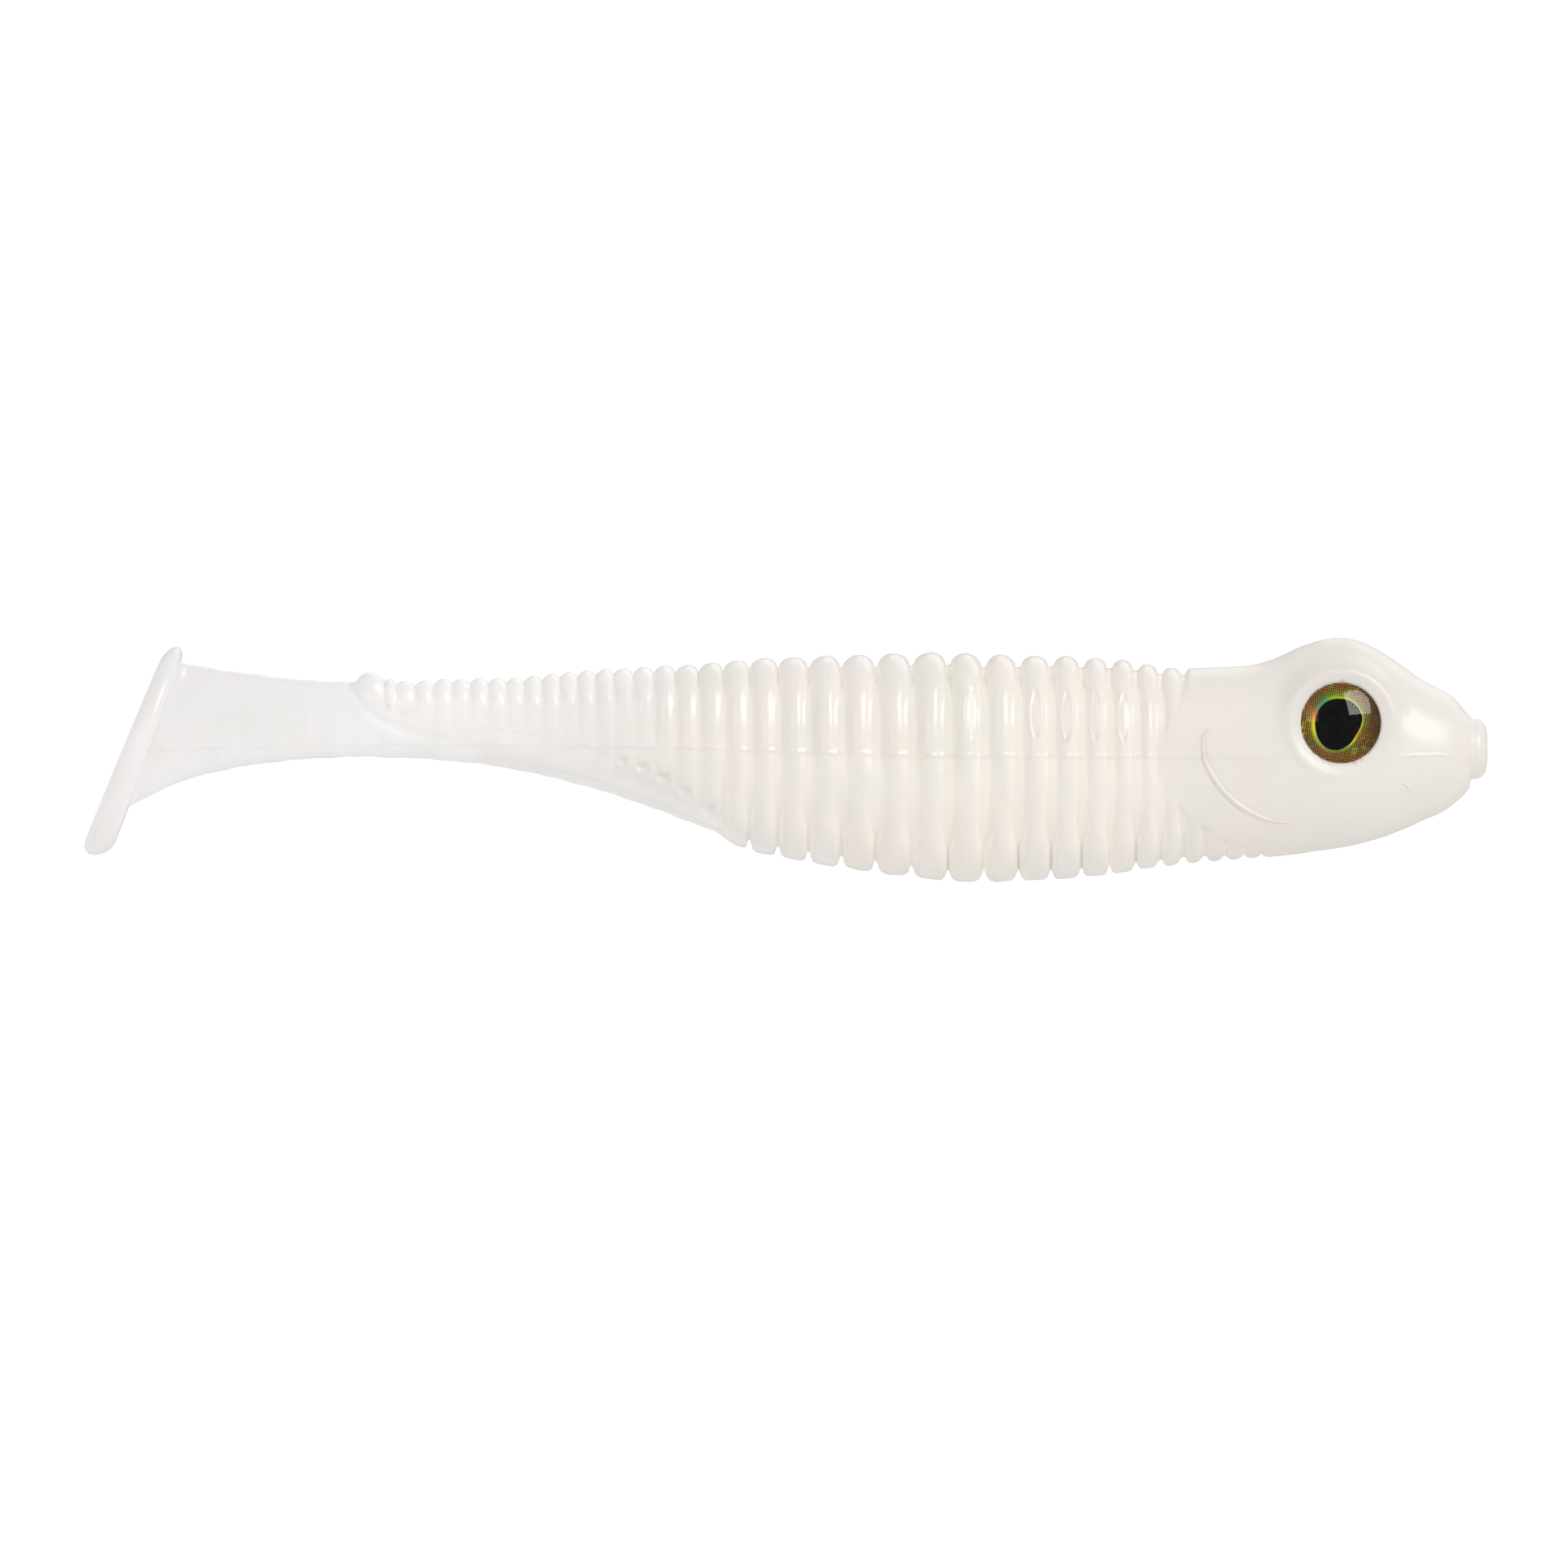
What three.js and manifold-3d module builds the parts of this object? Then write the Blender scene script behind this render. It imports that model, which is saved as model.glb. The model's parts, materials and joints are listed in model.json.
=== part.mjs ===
// A paddle-tail swimbait: a soft plastic fish with a ribbed body, stick-on domed eyes, a thin tail
// stalk and a tilted paddle. Millimetres, +X towards the nose, +Z up, +Y the fish's left side.
// The origin is the middle of the flat nose face, where a jig head seats.
//
// The moulding bends anywhere along its length, so it is divided into stiff sections at the
// bottoms of its grooves. A narrow flexible web joins each pair of sections.
import * as THREE from "three";
import { mergeVertices } from "three/addons/utils/BufferGeometryUtils.js";
import Module from "manifold-3d";

const wasm = await Module();
wasm.setup();

// ---- Driving dimensions. "back" is a distance behind the nose face, so x = -back. ----

// Each outline is [back, height or half-width], joined by a smooth curve.
const BACK_LINE = [
  [1.2, 2.2], [1.7, 2.9], [2.5, 3.7], [4.3, 4.8], [6.2, 6.05], [8.2, 7.3], [9.6, 7.95], [11, 8.16],
  [12.5, 7.9], [14.9, 6.96], [17, 6.25], [19, 6], [23.3, 5.95], [26.9, 6.5], [31, 6.8], [41, 7.08],
  [47, 6.9], [53.5, 6.65], [58, 6.25], [64, 5.9], [70, 5.4], [74, 5.15], [79, 4.9], [81.3, 5.1],
  [82.8, 5.55], [84.2, 4.95], [86.5, 4.92], [90.7, 5.4], [94.1, 5.9], [97, 6.45],
];
const BELLY_LINE = [
  [1.2, -2.3], [1.7, -3.2], [2.5, -4], [4.3, -5.15], [7.2, -6.4], [10, -7.2], [14.9, -7.9],
  [18.7, -8.2], [22.1, -8.55], [25.5, -8.95], [29.2, -9.45], [33.9, -9.8], [38.8, -9.85],
  [43.9, -9.35], [48.6, -8.65], [53.4, -7.8], [55.5, -7.2], [57.1, -6.15], [59.5, -5.2],
  [64.3, -3.5], [69.1, -2.15], [73.9, -1.25], [78.7, -0.8], [83.5, -0.62], [88.8, -0.9],
  [92.6, -1.45], [95.5, -2.15], [97, -2.6],
];
const HALF_WIDTH = [
  [1.2, 2.2], [1.7, 2.8], [2.5, 3.4], [4.3, 4.2], [7.2, 5], [10, 5.5], [15, 5.8], [22, 6.1],
  [30, 6.5], [38, 6.7], [46, 6.3], [53, 5.4], [58, 4.6], [64, 3.7], [70, 3], [76, 2.4], [82.8, 1.9],
  [84.2, 1.3], [90, 1.15], [97, 1.2],
];
// Height of the widest point of each section.
const WAIST_LINE = [[0, 0], [5, -0.5], [38, -0.55], [57, 0.3], [64, 0.9], [72, 1.5], [84, 2.3], [97, 2]];
// 2 is an ellipse, more is boxier; the keel power sharpens the underside of the tail into a V.
const SECTION_POWER = [[0, 2], [5, 2.2], [10, 2.8], [14, 2.6], [20, 2.1], [80, 2.1], [85, 3.4], [97, 3.4]];
const KEEL_POWER = [[54, 1], [62, 1.6], [80, 1.6], [85, 1]];

const NOSE = { faceRadius: 1.6, padRadius: 2.1, roundBack: 0.4, padBack: 1.15 };

const FIRST_RIB = 23.28;
const RIB_COUNT = 34;
const THROAT_RIB_COUNT = 5; // short ribs that run on under the head
const RIB_PITCH = [[16, 1.22], [24, 1.74], [41, 2.7], [62, 1.54], [67, 1.31], [83, 1.4]];
const RIB_DEPTH = [[16, 0.2], [24, 0.55], [40, 0.95], [56, 0.7], [66, 0.42], [82, 0.3]];
const THROAT_TO_BACK_RIBS = 22.3; // ribs ring the whole body behind this
const BELLY_RIBS_END = 56; // behind this the underside is a smooth keel
const RIB_SHOULDER = 0.55; // where a rib's flat top ends, as a share of half the pitch
const STATION_CLEARANCE = 0.25; // no ring stands nearer than this to a section's end

const COLUMNS = 20;
const WEB_COLUMNS = 12;
const WEB_SHARE = 0.5; // of the section's height and width
const HEAD_STATIONS = [1.2, 1.7, 2.5, 3.6, 5, 6.6, 8.2, 9.6, 11, 12.5, 13.8, 15.2, 16.2];

// The paddle is a rounded plate, thicker at its foot, leaning back from its top.
const PADDLE = { length: 16.2, width: 10.8, topThickness: 1.4, footThickness: 2.1, bevel: 0.45 };
const PADDLE_PLACE = { back: 100.15, height: -0.2, lean: 23.5 };
const STALK_MEETS_PADDLE = { back: 97, lowest: -4.4, flare: 1.5 };

// The eyes face a little forwards; back is where their axis crosses the middle of the fish.
const EYE = { back: 11.5, height: 1.86, radius: 3, socketFloor: 4.2, socketGap: 0.2, toeIn: 7 };
const EYE_LAYERS = { pad: 0.4, foil: 0.2, pupil: 0.12, gap: 0.05 };
const PAD_INSET = 0.3; // how much smaller than the dome the foam pad is
const FOIL_INSET = 0.1;
const DOME = { rim: 0.3, rise: 1, steps: 6 };
const PUPIL = { width: 3.5, above: 1.8, below: 2.1, sideFullness: 0.6, tipFullness: 0.4 };
const ROUND_FACETS = 32;
const SOCKET_FACETS = 40;

// Sections from nose to tail. Each ends at the groove behind the named rib, or at a distance back.
// "gap" is the length of the flexible web behind the section.
const SECTIONS = [
  { name: "head", ribBefore: 0, gap: 1.0, web: "neck_web" },
  { name: "collar_section", ribBefore: 4, gap: 1.0, web: "shoulder_web" },
  { name: "chest_section", ribBefore: 7, gap: 1.3, web: "front_body_web" },
  { name: "belly_section", ribBefore: 10, gap: 1.2, web: "rear_body_web" },
  { name: "vent_section", ribBefore: 13, gap: 0.9, web: "hip_web" },
  { name: "hip_section", ribBefore: 16, gap: 1.1, web: "tail_root_web" },
  { name: "tail_root_section", ribBefore: 21, gap: 1.0, web: "tail_middle_web" },
  { name: "tail_middle_section", ribBefore: 27, gap: 0.9, web: "tail_end_web" },
  { name: "tail_end_section", endBack: 85.4, gap: 0.7, web: "stalk_web" },
  { name: "stalk_front", endBack: 89.6, gap: 0.4, web: "stalk_twist_web" },
  { name: "stalk_rear", endBack: 93.8, gap: 0.8, web: "paddle_web" },
  { name: "paddle" },
];

const SOFT_PLASTIC = { color: 0xece7dd, roughness: 0.25, metalness: 0 };
const TAIL_PLASTIC = { color: 0xe9e9e8, roughness: 0.2, metalness: 0 };
const FOAM = { color: 0xf2f2ee, roughness: 0.9, metalness: 0 };
const HOLO_FOIL = { color: 0x7a6a3c, roughness: 0.25, metalness: 0.8 };
const BLACK_INK = { color: 0x0b0b0c, roughness: 0.4, metalness: 0 };
const CLEAR_RESIN = { color: 0xf4f4f6, roughness: 0.05, metalness: 0, transparent: true, opacity: 0.35 };

// ---- Curves ----

// A smooth curve through points that never overshoots between them.
function smoothCurve(points) {
  const spans = points.slice(1).map(([x, y], i) => ({ width: x - points[i][0], rise: y - points[i][1] }));
  const slopes = spans.map(({ width, rise }) => rise / width);
  const tangents = points.map((_, i) => {
    if (i === 0) return slopes[0];
    if (i === points.length - 1) return slopes[i - 1];
    if (slopes[i - 1] * slopes[i] <= 0) return 0;
    const before = 2 * spans[i].width + spans[i - 1].width;
    const after = spans[i].width + 2 * spans[i - 1].width;
    return (before + after) / (before / slopes[i - 1] + after / slopes[i]);
  });
  return (x) => {
    const inside = THREE.MathUtils.clamp(x, points[0][0], points.at(-1)[0]);
    const next = points.findIndex(([px], i) => i > 0 && px >= inside);
    const [x0, y0] = points[next - 1];
    const { width, rise } = spans[next - 1];
    const t = (inside - x0) / width;
    const blend = t * t * (3 - 2 * t);
    const leave = t * (1 - t) ** 2 * width * tangents[next - 1];
    const arrive = t * t * (t - 1) * width * tangents[next];
    return y0 + blend * rise + leave + arrive;
  };
}

const backLine = smoothCurve(BACK_LINE);
const bellyLine = smoothCurve(BELLY_LINE);
const halfWidth = smoothCurve(HALF_WIDTH);
const waistLine = smoothCurve(WAIST_LINE);
const sectionPower = smoothCurve(SECTION_POWER);
const keelPower = smoothCurve(KEEL_POWER);
const ribPitch = smoothCurve(RIB_PITCH);
const ribDepth = smoothCurve(RIB_DEPTH);

// The rib crests, stepped from the first rib by the pitch halfway to the next one.
function ribCrests() {
  const crests = [FIRST_RIB];
  const step = (from, direction) => from + direction * ribPitch(from + (direction * ribPitch(from)) / 2);
  for (let i = 1; i < RIB_COUNT; i++) crests.push(step(crests.at(-1), 1));
  for (let i = 0; i < THROAT_RIB_COUNT; i++) crests.unshift(step(crests[0], -1));
  return crests;
}

const CRESTS = ribCrests();
const grooveBehind = (rib) => (CRESTS[THROAT_RIB_COUNT + rib] + CRESTS[THROAT_RIB_COUNT + rib + 1]) / 2;

// ---- Section outlines ----

const signedPower = (value, power) => Math.sign(value) * Math.abs(value) ** power;

// One closed ring of points at a distance back, anticlockwise seen from the tail.
// sink is how far the surface lies below the rib crests, and share scales the ring about its waist.
function ring(back, { columns = COLUMNS, sink = 0, share = 1 } = {}) {
  const waist = waistLine(back);
  const power = 2 / sectionPower(back);
  return Array.from({ length: columns }, (_, i) => {
    const angle = (2 * Math.PI * i) / columns;
    const up = Math.cos(angle);
    const side = Math.sin(angle);
    const above = up > 0;
    const ribbed = above ? back > THROAT_TO_BACK_RIBS : back < BELLY_RIBS_END;
    const drop = ribbed ? sink : 0;
    const reach = above ? backLine(back) - waist : waist - bellyLine(back);
    const narrowing = above ? power : power * keelPower(back);
    return new THREE.Vector3(
      -back,
      -share * (halfWidth(back) - sink) * signedPower(side, narrowing),
      waist + share * (reach - drop) * signedPower(up, power),
    );
  });
}

function circle(back, radius) {
  return Array.from({ length: COLUMNS }, (_, i) => {
    const angle = (2 * Math.PI * i) / COLUMNS;
    return new THREE.Vector3(-back, -radius * Math.sin(angle), radius * Math.cos(angle));
  });
}

// A closed solid through rings of equal length, with a flat cap on each end.
function loft(rings) {
  const columns = rings[0].length;
  const middle = (points) =>
    points.reduce((sum, p) => sum.add(p), new THREE.Vector3()).divideScalar(columns);
  const positions = [...rings.flat(), middle(rings[0]), middle(rings.at(-1))].flatMap((p) => p.toArray());
  const firstCap = rings.length * columns;
  const lastRing = (rings.length - 1) * columns;
  const faces = [];
  for (let i = 0; i < columns; i++) {
    const j = (i + 1) % columns;
    faces.push(firstCap, i, j, firstCap + 1, lastRing + j, lastRing + i);
    for (let row = 0; row < lastRing; row += columns)
      faces.push(row + i, row + columns + j, row + j, row + i, row + columns + i, row + columns + j);
  }
  const geometry = new THREE.BufferGeometry();
  geometry.setAttribute("position", new THREE.Float32BufferAttribute(positions, 3));
  geometry.setIndex(faces);
  return geometry;
}

// ---- Booleans ----

function solidOf(geometry) {
  const bare = geometry.clone();
  bare.deleteAttribute("normal");
  bare.deleteAttribute("uv");
  const merged = mergeVertices(bare, 1e-4);
  return new wasm.Manifold(
    new wasm.Mesh({
      numProp: 3,
      vertProperties: merged.attributes.position.array,
      triVerts: new Uint32Array(merged.index.array),
    }),
  );
}

function geometryOf(solid) {
  const mesh = solid.getMesh();
  const geometry = new THREE.BufferGeometry();
  geometry.setAttribute("position", new THREE.BufferAttribute(mesh.vertProperties, 3));
  geometry.setIndex(new THREE.BufferAttribute(mesh.triVerts, 1));
  return geometry;
}

// ---- The moulding ----

// Where the rings of a ribbed stretch go: each groove's bottom, and each rib's two shoulders.
function ribStations(from, to) {
  const stations = [{ back: from, sink: ribDepth(from) }];
  CRESTS.forEach((crest) => {
    const half = ribPitch(crest) / 2;
    [-RIB_SHOULDER, RIB_SHOULDER].forEach((share) => stations.push({ back: crest + share * half, sink: 0 }));
    stations.push({ back: crest + half, sink: ribDepth(crest) });
  });
  stations.push({ back: to, sink: ribDepth(to) });
  const isClear = ({ back }) => back > from + STATION_CLEARANCE && back < to - STATION_CLEARANCE;
  return stations.filter((station, i) => i === 0 || i === stations.length - 1 || isClear(station));
}

function ribbedStretch(from, to) {
  return loft(ribStations(from, to).map(({ back, sink }) => ring(back, { sink })));
}

function headGeometry(to) {
  const pad = [
    circle(0, NOSE.faceRadius),
    circle(NOSE.roundBack, NOSE.padRadius),
    circle(NOSE.padBack, NOSE.padRadius),
  ];
  const cheeks = HEAD_STATIONS.map((back) => ring(back));
  const throat = ribStations(HEAD_STATIONS.at(-1), to)
    .slice(1)
    .map(({ back, sink }) => ring(back, { sink: back > THROAT_TO_BACK_RIBS ? sink : sink / 2 }));
  let solid = solidOf(loft([...pad, ...cheeks, ...throat]));
  [-1, 1].forEach((side) => {
    const radius = EYE.radius + EYE.socketGap;
    const depth = EYE.radius;
    const socket = new THREE.CylinderGeometry(radius, radius, depth, SOCKET_FACETS);
    socket.translate(0, side * (EYE.socketFloor + depth / 2), 0);
    socket.rotateZ(-side * THREE.MathUtils.degToRad(EYE.toeIn));
    socket.translate(-EYE.back, 0, EYE.height);
    solid = solid.subtract(solidOf(socket));
  });
  return geometryOf(solid);
}

function stalkStretch(from, to) {
  const middle = (from + to) / 2;
  return loft([from, middle, to].map((back) => ring(back)));
}

function tailEnd(from, to) {
  const lastRib = CRESTS.at(-1) + ribPitch(CRESTS.at(-1)) / 2;
  const ribs = ribStations(from, lastRib).map(({ back, sink }) => ring(back, { sink }));
  return loft([...ribs, ring(to)]);
}

// A rounded plate standing across the stalk, its foot further back than its top.
function paddleGeometry(from) {
  const { bevel, topThickness, footThickness } = PADDLE;
  const thickness = (topThickness + footThickness) / 2;
  const lean = THREE.MathUtils.degToRad(PADDLE_PLACE.lean);
  const outline = new THREE.Shape();
  outline.absellipse(0, 0, PADDLE.width / 2 - bevel, PADDLE.length / 2 - bevel, 0, 2 * Math.PI);
  const plate = new THREE.ExtrudeGeometry(outline, {
    depth: thickness - 2 * bevel,
    bevelEnabled: true,
    bevelThickness: bevel,
    bevelSize: bevel,
    bevelSegments: 2,
    curveSegments: 16,
  });
  plate.translate(0, 0, bevel - thickness / 2);
  const points = plate.attributes.position;
  for (let i = 0; i < points.count; i++) {
    const towardsFoot = 0.5 - points.getY(i) / PADDLE.length;
    const local = THREE.MathUtils.lerp(topThickness, footThickness, towardsFoot);
    points.setZ(i, (points.getZ(i) * local) / thickness);
  }
  plate.rotateX(Math.PI / 2);
  plate.rotateZ(Math.PI / 2);
  plate.rotateY(lean);
  plate.translate(-PADDLE_PLACE.back, 0, PADDLE_PLACE.height);
  const { back, lowest, flare } = STALK_MEETS_PADDLE;
  const waist = waistLine(back);
  const deepen = (waist - lowest) / (waist - bellyLine(back));
  const root = ring(back).map(({ y, z }) => {
    const height = z < waist ? waist + (z - waist) * deepen : z;
    const fromMiddle = (height - PADDLE_PLACE.height) * Math.tan(lean);
    return new THREE.Vector3(fromMiddle - PADDLE_PLACE.back, y, height);
  });
  const stub = loft([ring(from), ring(back - flare), root]);
  return geometryOf(solidOf(plate).add(solidOf(stub)));
}

function sectionGeometry({ name }, from, to) {
  if (name === "head") return headGeometry(to);
  if (name === "paddle") return paddleGeometry(from);
  if (name === "tail_end_section") return tailEnd(from, to);
  if (name.startsWith("stalk")) return stalkStretch(from, to);
  return ribbedStretch(from, to);
}

function webGeometry(from, to) {
  return loft([from, to].map((back) => ring(back, { columns: WEB_COLUMNS, share: WEB_SHARE })));
}

// ---- The eyes: foam adhesive pad, holographic foil, printed pupil and clear resin dome ----

function disc(radius, thickness) {
  return new THREE.CylinderGeometry(radius, radius, thickness, ROUND_FACETS).translate(0, thickness / 2, 0);
}

// An egg that is round above and drawn out to a soft point below.
function pupilGeometry() {
  const half = PUPIL.width / 2;
  const shoulder = -PUPIL.below * PUPIL.sideFullness;
  const tip = half * PUPIL.tipFullness;
  const egg = new THREE.Shape();
  egg.moveTo(-half, 0);
  egg.bezierCurveTo(-half, shoulder, -tip, -PUPIL.below, 0, -PUPIL.below);
  egg.bezierCurveTo(tip, -PUPIL.below, half, shoulder, half, 0);
  egg.absellipse(0, 0, half, PUPIL.above, 0, Math.PI);
  const plate = new THREE.ExtrudeGeometry(egg, { depth: EYE_LAYERS.pupil, bevelEnabled: false, curveSegments: 8 });
  return plate.rotateX(Math.PI / 2).rotateY(Math.PI).translate(0, EYE_LAYERS.pupil, 0);
}

function domeGeometry() {
  const { rim, rise, steps } = DOME;
  const ballRadius = (EYE.radius ** 2 + rise ** 2) / (2 * rise);
  const spread = Math.asin(EYE.radius / ballRadius);
  const profile = [new THREE.Vector2(0, 0), new THREE.Vector2(EYE.radius, 0)];
  for (let i = 0; i < steps; i++) {
    const angle = spread * (1 - i / steps);
    const height = rim + rise - ballRadius * (1 - Math.cos(angle));
    profile.push(new THREE.Vector2(ballRadius * Math.sin(angle), height));
  }
  profile.push(new THREE.Vector2(0, rim + rise));
  return new THREE.LatheGeometry(profile, ROUND_FACETS);
}

function eye(side) {
  const stack = new THREE.Group();
  stack.position.set(-EYE.back, 0, EYE.height);
  stack.rotation.z = -THREE.MathUtils.degToRad(EYE.toeIn);
  const layers = [
    ["adhesive_pad", disc(EYE.radius - PAD_INSET, EYE_LAYERS.pad), EYE_LAYERS.pad, FOAM],
    ["foil", disc(EYE.radius - FOIL_INSET, EYE_LAYERS.foil), EYE_LAYERS.foil, HOLO_FOIL],
    ["pupil", pupilGeometry(), EYE_LAYERS.pupil, BLACK_INK],
    ["dome", domeGeometry(), DOME.rim + DOME.rise, CLEAR_RESIN],
  ];
  let level = EYE.socketFloor + EYE_LAYERS.gap;
  layers.forEach(([layer, geometry, thickness, look]) => {
    const mesh = namedMesh(`${side}_eye_${layer}`, geometry, look);
    mesh.position.y = level;
    level += thickness + EYE_LAYERS.gap;
    stack.add(mesh);
  });
  const mirrored = new THREE.Group();
  if (side === "right") mirrored.scale.y = -1;
  return mirrored.add(stack);
}

// ---- Assembly ----

function namedMesh(name, geometry, look) {
  const mesh = new THREE.Mesh(geometry, new THREE.MeshStandardMaterial(look));
  mesh.name = name;
  return mesh;
}

const swimbait = new THREE.Group();
let start = 0;
SECTIONS.forEach((section) => {
  const last = section.web === undefined;
  const joint = section.endBack ?? (last ? STALK_MEETS_PADDLE.back : grooveBehind(section.ribBefore));
  const end = last ? joint : joint - section.gap / 2;
  const look = start > CRESTS.at(-1) ? TAIL_PLASTIC : SOFT_PLASTIC;
  swimbait.add(namedMesh(section.name, sectionGeometry(section, start, end), look));
  if (last) return;
  start = joint + section.gap / 2;
  swimbait.add(namedMesh(section.web, webGeometry(end, start), look));
});
swimbait.add(eye("left"), eye("right"));

export default swimbait;
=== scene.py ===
"""A soft plastic paddle-tail swimbait with a ribbed body and stick-on domed eyes.

Shapes are worked out in millimetres, as (back, side, up): back is the distance behind the nose
face, side is half of a symmetric width and up is height. They become metres, with x = -back.
"""

import json
import math

import bmesh
import bpy
import numpy as np
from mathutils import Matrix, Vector


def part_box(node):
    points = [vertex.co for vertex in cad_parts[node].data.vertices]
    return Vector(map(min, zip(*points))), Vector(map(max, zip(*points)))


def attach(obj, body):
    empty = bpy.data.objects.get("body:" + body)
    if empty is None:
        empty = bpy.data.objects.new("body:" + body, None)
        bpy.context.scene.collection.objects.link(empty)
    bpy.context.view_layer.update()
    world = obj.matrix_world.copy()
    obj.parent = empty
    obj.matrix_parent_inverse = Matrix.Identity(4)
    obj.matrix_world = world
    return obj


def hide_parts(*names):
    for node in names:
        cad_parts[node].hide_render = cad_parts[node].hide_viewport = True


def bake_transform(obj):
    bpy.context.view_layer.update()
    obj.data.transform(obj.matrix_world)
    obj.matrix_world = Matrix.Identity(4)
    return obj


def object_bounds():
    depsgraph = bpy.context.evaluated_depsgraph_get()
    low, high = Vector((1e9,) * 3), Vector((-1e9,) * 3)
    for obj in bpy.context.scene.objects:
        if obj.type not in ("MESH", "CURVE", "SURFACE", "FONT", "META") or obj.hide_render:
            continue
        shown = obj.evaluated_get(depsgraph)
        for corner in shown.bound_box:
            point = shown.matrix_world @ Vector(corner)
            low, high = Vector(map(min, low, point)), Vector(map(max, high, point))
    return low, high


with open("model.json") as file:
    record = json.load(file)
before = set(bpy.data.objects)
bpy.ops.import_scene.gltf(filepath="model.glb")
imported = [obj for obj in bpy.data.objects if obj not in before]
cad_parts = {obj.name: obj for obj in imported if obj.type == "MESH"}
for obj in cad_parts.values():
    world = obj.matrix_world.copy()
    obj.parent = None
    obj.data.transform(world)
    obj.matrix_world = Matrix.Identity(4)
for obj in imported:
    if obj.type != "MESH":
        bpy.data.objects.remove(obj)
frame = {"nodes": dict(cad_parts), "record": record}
cad_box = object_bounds()

MM = 0.001
RIGHT, LEFT = -1, 1  # the sign of y on each side of the fish


# ---- Curves ----

def smooth_curve(points):
    """A smooth curve through points that never overshoots between them; it takes arrays."""
    x, y = np.array(points, float).T
    width = np.diff(x)
    slope = np.diff(y) / width
    tangent = np.concatenate([slope[:1], np.zeros(len(x) - 2), slope[-1:]])
    for i in range(1, len(x) - 1):
        if slope[i - 1] * slope[i] > 0:
            before = 2 * width[i] + width[i - 1]
            after = width[i] + 2 * width[i - 1]
            tangent[i] = (before + after) / (before / slope[i - 1] + after / slope[i])

    def value(at):
        at = np.clip(at, x[0], x[-1])
        i = np.clip(np.searchsorted(x, at, side="right") - 1, 0, len(x) - 2)
        t = (at - x[i]) / width[i]
        rise = t * t * (3 - 2 * t) * (y[i + 1] - y[i])
        bend = t * (1 - t) ** 2 * tangent[i] - t * t * (1 - t) * tangent[i + 1]
        return y[i] + rise + bend * width[i]

    return value


def smoothstep(low, high, value):
    t = np.clip((value - low) / (high - low), 0, 1)
    return t * t * (3 - 2 * t)


def smooth_max(a, b, fillet):
    """The larger of a and b, with a fillet where they cross that vanishes where either is 0."""
    reach = np.maximum(np.minimum(fillet, np.minimum(a, b)), 1e-6)
    overlap = np.maximum(reach - np.abs(a - b), 0) / reach
    return np.maximum(a, b) + overlap ** 2 * reach / 4


# ---- Outlines, in millimetres ----

BACK_LINE = smooth_curve([
    (1.2, 2.3), (1.5, 2.62), (2, 3.25), (2.5, 3.8), (3.4, 4.34), (4.4, 4.84), (5.3, 5.4), (6.2, 6.04),
    (7.2, 6.76), (8.2, 7.34), (9.1, 7.8), (10.1, 8.08), (11, 8.16), (12, 8.05), (13, 7.8), (14, 7.42),
    (15, 6.94), (16, 6.54), (17, 6.25), (18.2, 6.06), (20, 6), (22.3, 5.92), (23.3, 5.97), (25.2, 6.27),
    (26.9, 6.52), (31, 6.82), (36, 6.92), (41, 7.12), (44, 7.02), (47, 6.9), (53.5, 6.68), (58, 6.28),
    (61, 6.1), (64, 5.92), (68, 5.65), (70.4, 5.34), (74, 5.17), (77, 5.14), (79, 4.96), (80.3, 5.03),
    (81.2, 5.16), (81.5, 5.34), (82, 5.49), (82.5, 5.57), (83, 5.5), (83.35, 5.27), (83.55, 5), (83.7, 4.93),
    (85, 4.92), (86.5, 4.97), (88.8, 5.2), (90.7, 5.41), (94.1, 5.88), (96.6, 6.38),
])
BELLY_LINE = smooth_curve([
    (1.2, -2.35), (1.32, -2.9), (1.5, -3.2), (2, -3.74), (2.5, -4.14), (3.4, -4.76), (4.4, -5.2),
    (6.2, -6), (8.2, -6.73), (10, -7.2), (12, -7.52), (14.9, -7.92), (18.7, -8.24), (22.1, -8.54),
    (25.5, -8.97), (29.2, -9.48), (33.9, -9.79), (38.8, -9.88), (41.2, -9.68), (43.9, -9.36),
    (48.6, -8.7), (53.4, -7.82), (55.4, -7.25), (57.1, -6.15), (59.5, -5.22), (64.3, -3.5),
    (69.1, -2.16), (73.9, -1.24), (78.7, -0.78), (83.5, -0.62), (86, -0.72), (88.8, -0.92),
    (90.7, -1.16), (92.6, -1.46), (94.1, -1.76), (95.5, -2.14), (97, -2.66), (98.4, -3.26), (100.5, -4.4),
])
# The mound is the thick body; on the tail it sits on a thin blade that becomes the stalk.
MOUND_BELLY = smooth_curve([
    (56.4, -6.2), (58, -5.5), (60, -4.6), (64, -3.1), (68, -1.9), (72, -1), (75, -0.45), (77, 0), (79, 0.5),
    (81.5, 1.4), (82.8, 2.3), (83.6, 3.5), (84, 4.7),
])
HALF_WIDTH = smooth_curve([
    (1.2, 2.25), (1.4, 2.6), (2, 3.15), (3.4, 3.95), (5.3, 4.6), (7.2, 5.05), (10, 5.5), (15, 5.8),
    (22, 6.1), (30, 6.5), (38, 6.7), (46, 6.3), (53, 5.4), (58, 4.5), (64, 3.5), (70, 2.7), (76, 2.15),
    (80, 1.85), (82.3, 1.65), (83.3, 1.4), (83.8, 1.05), (84.1, 0.05),
])
WAIST_LINE = smooth_curve([
    (1.2, -0.1), (5, -0.5), (38, -0.55), (50, -0.3), (57, 0.6), (64, 1.8), (72, 2.9),
    (80, 3.7), (83, 4.4), (84, 4.8),
])
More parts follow.
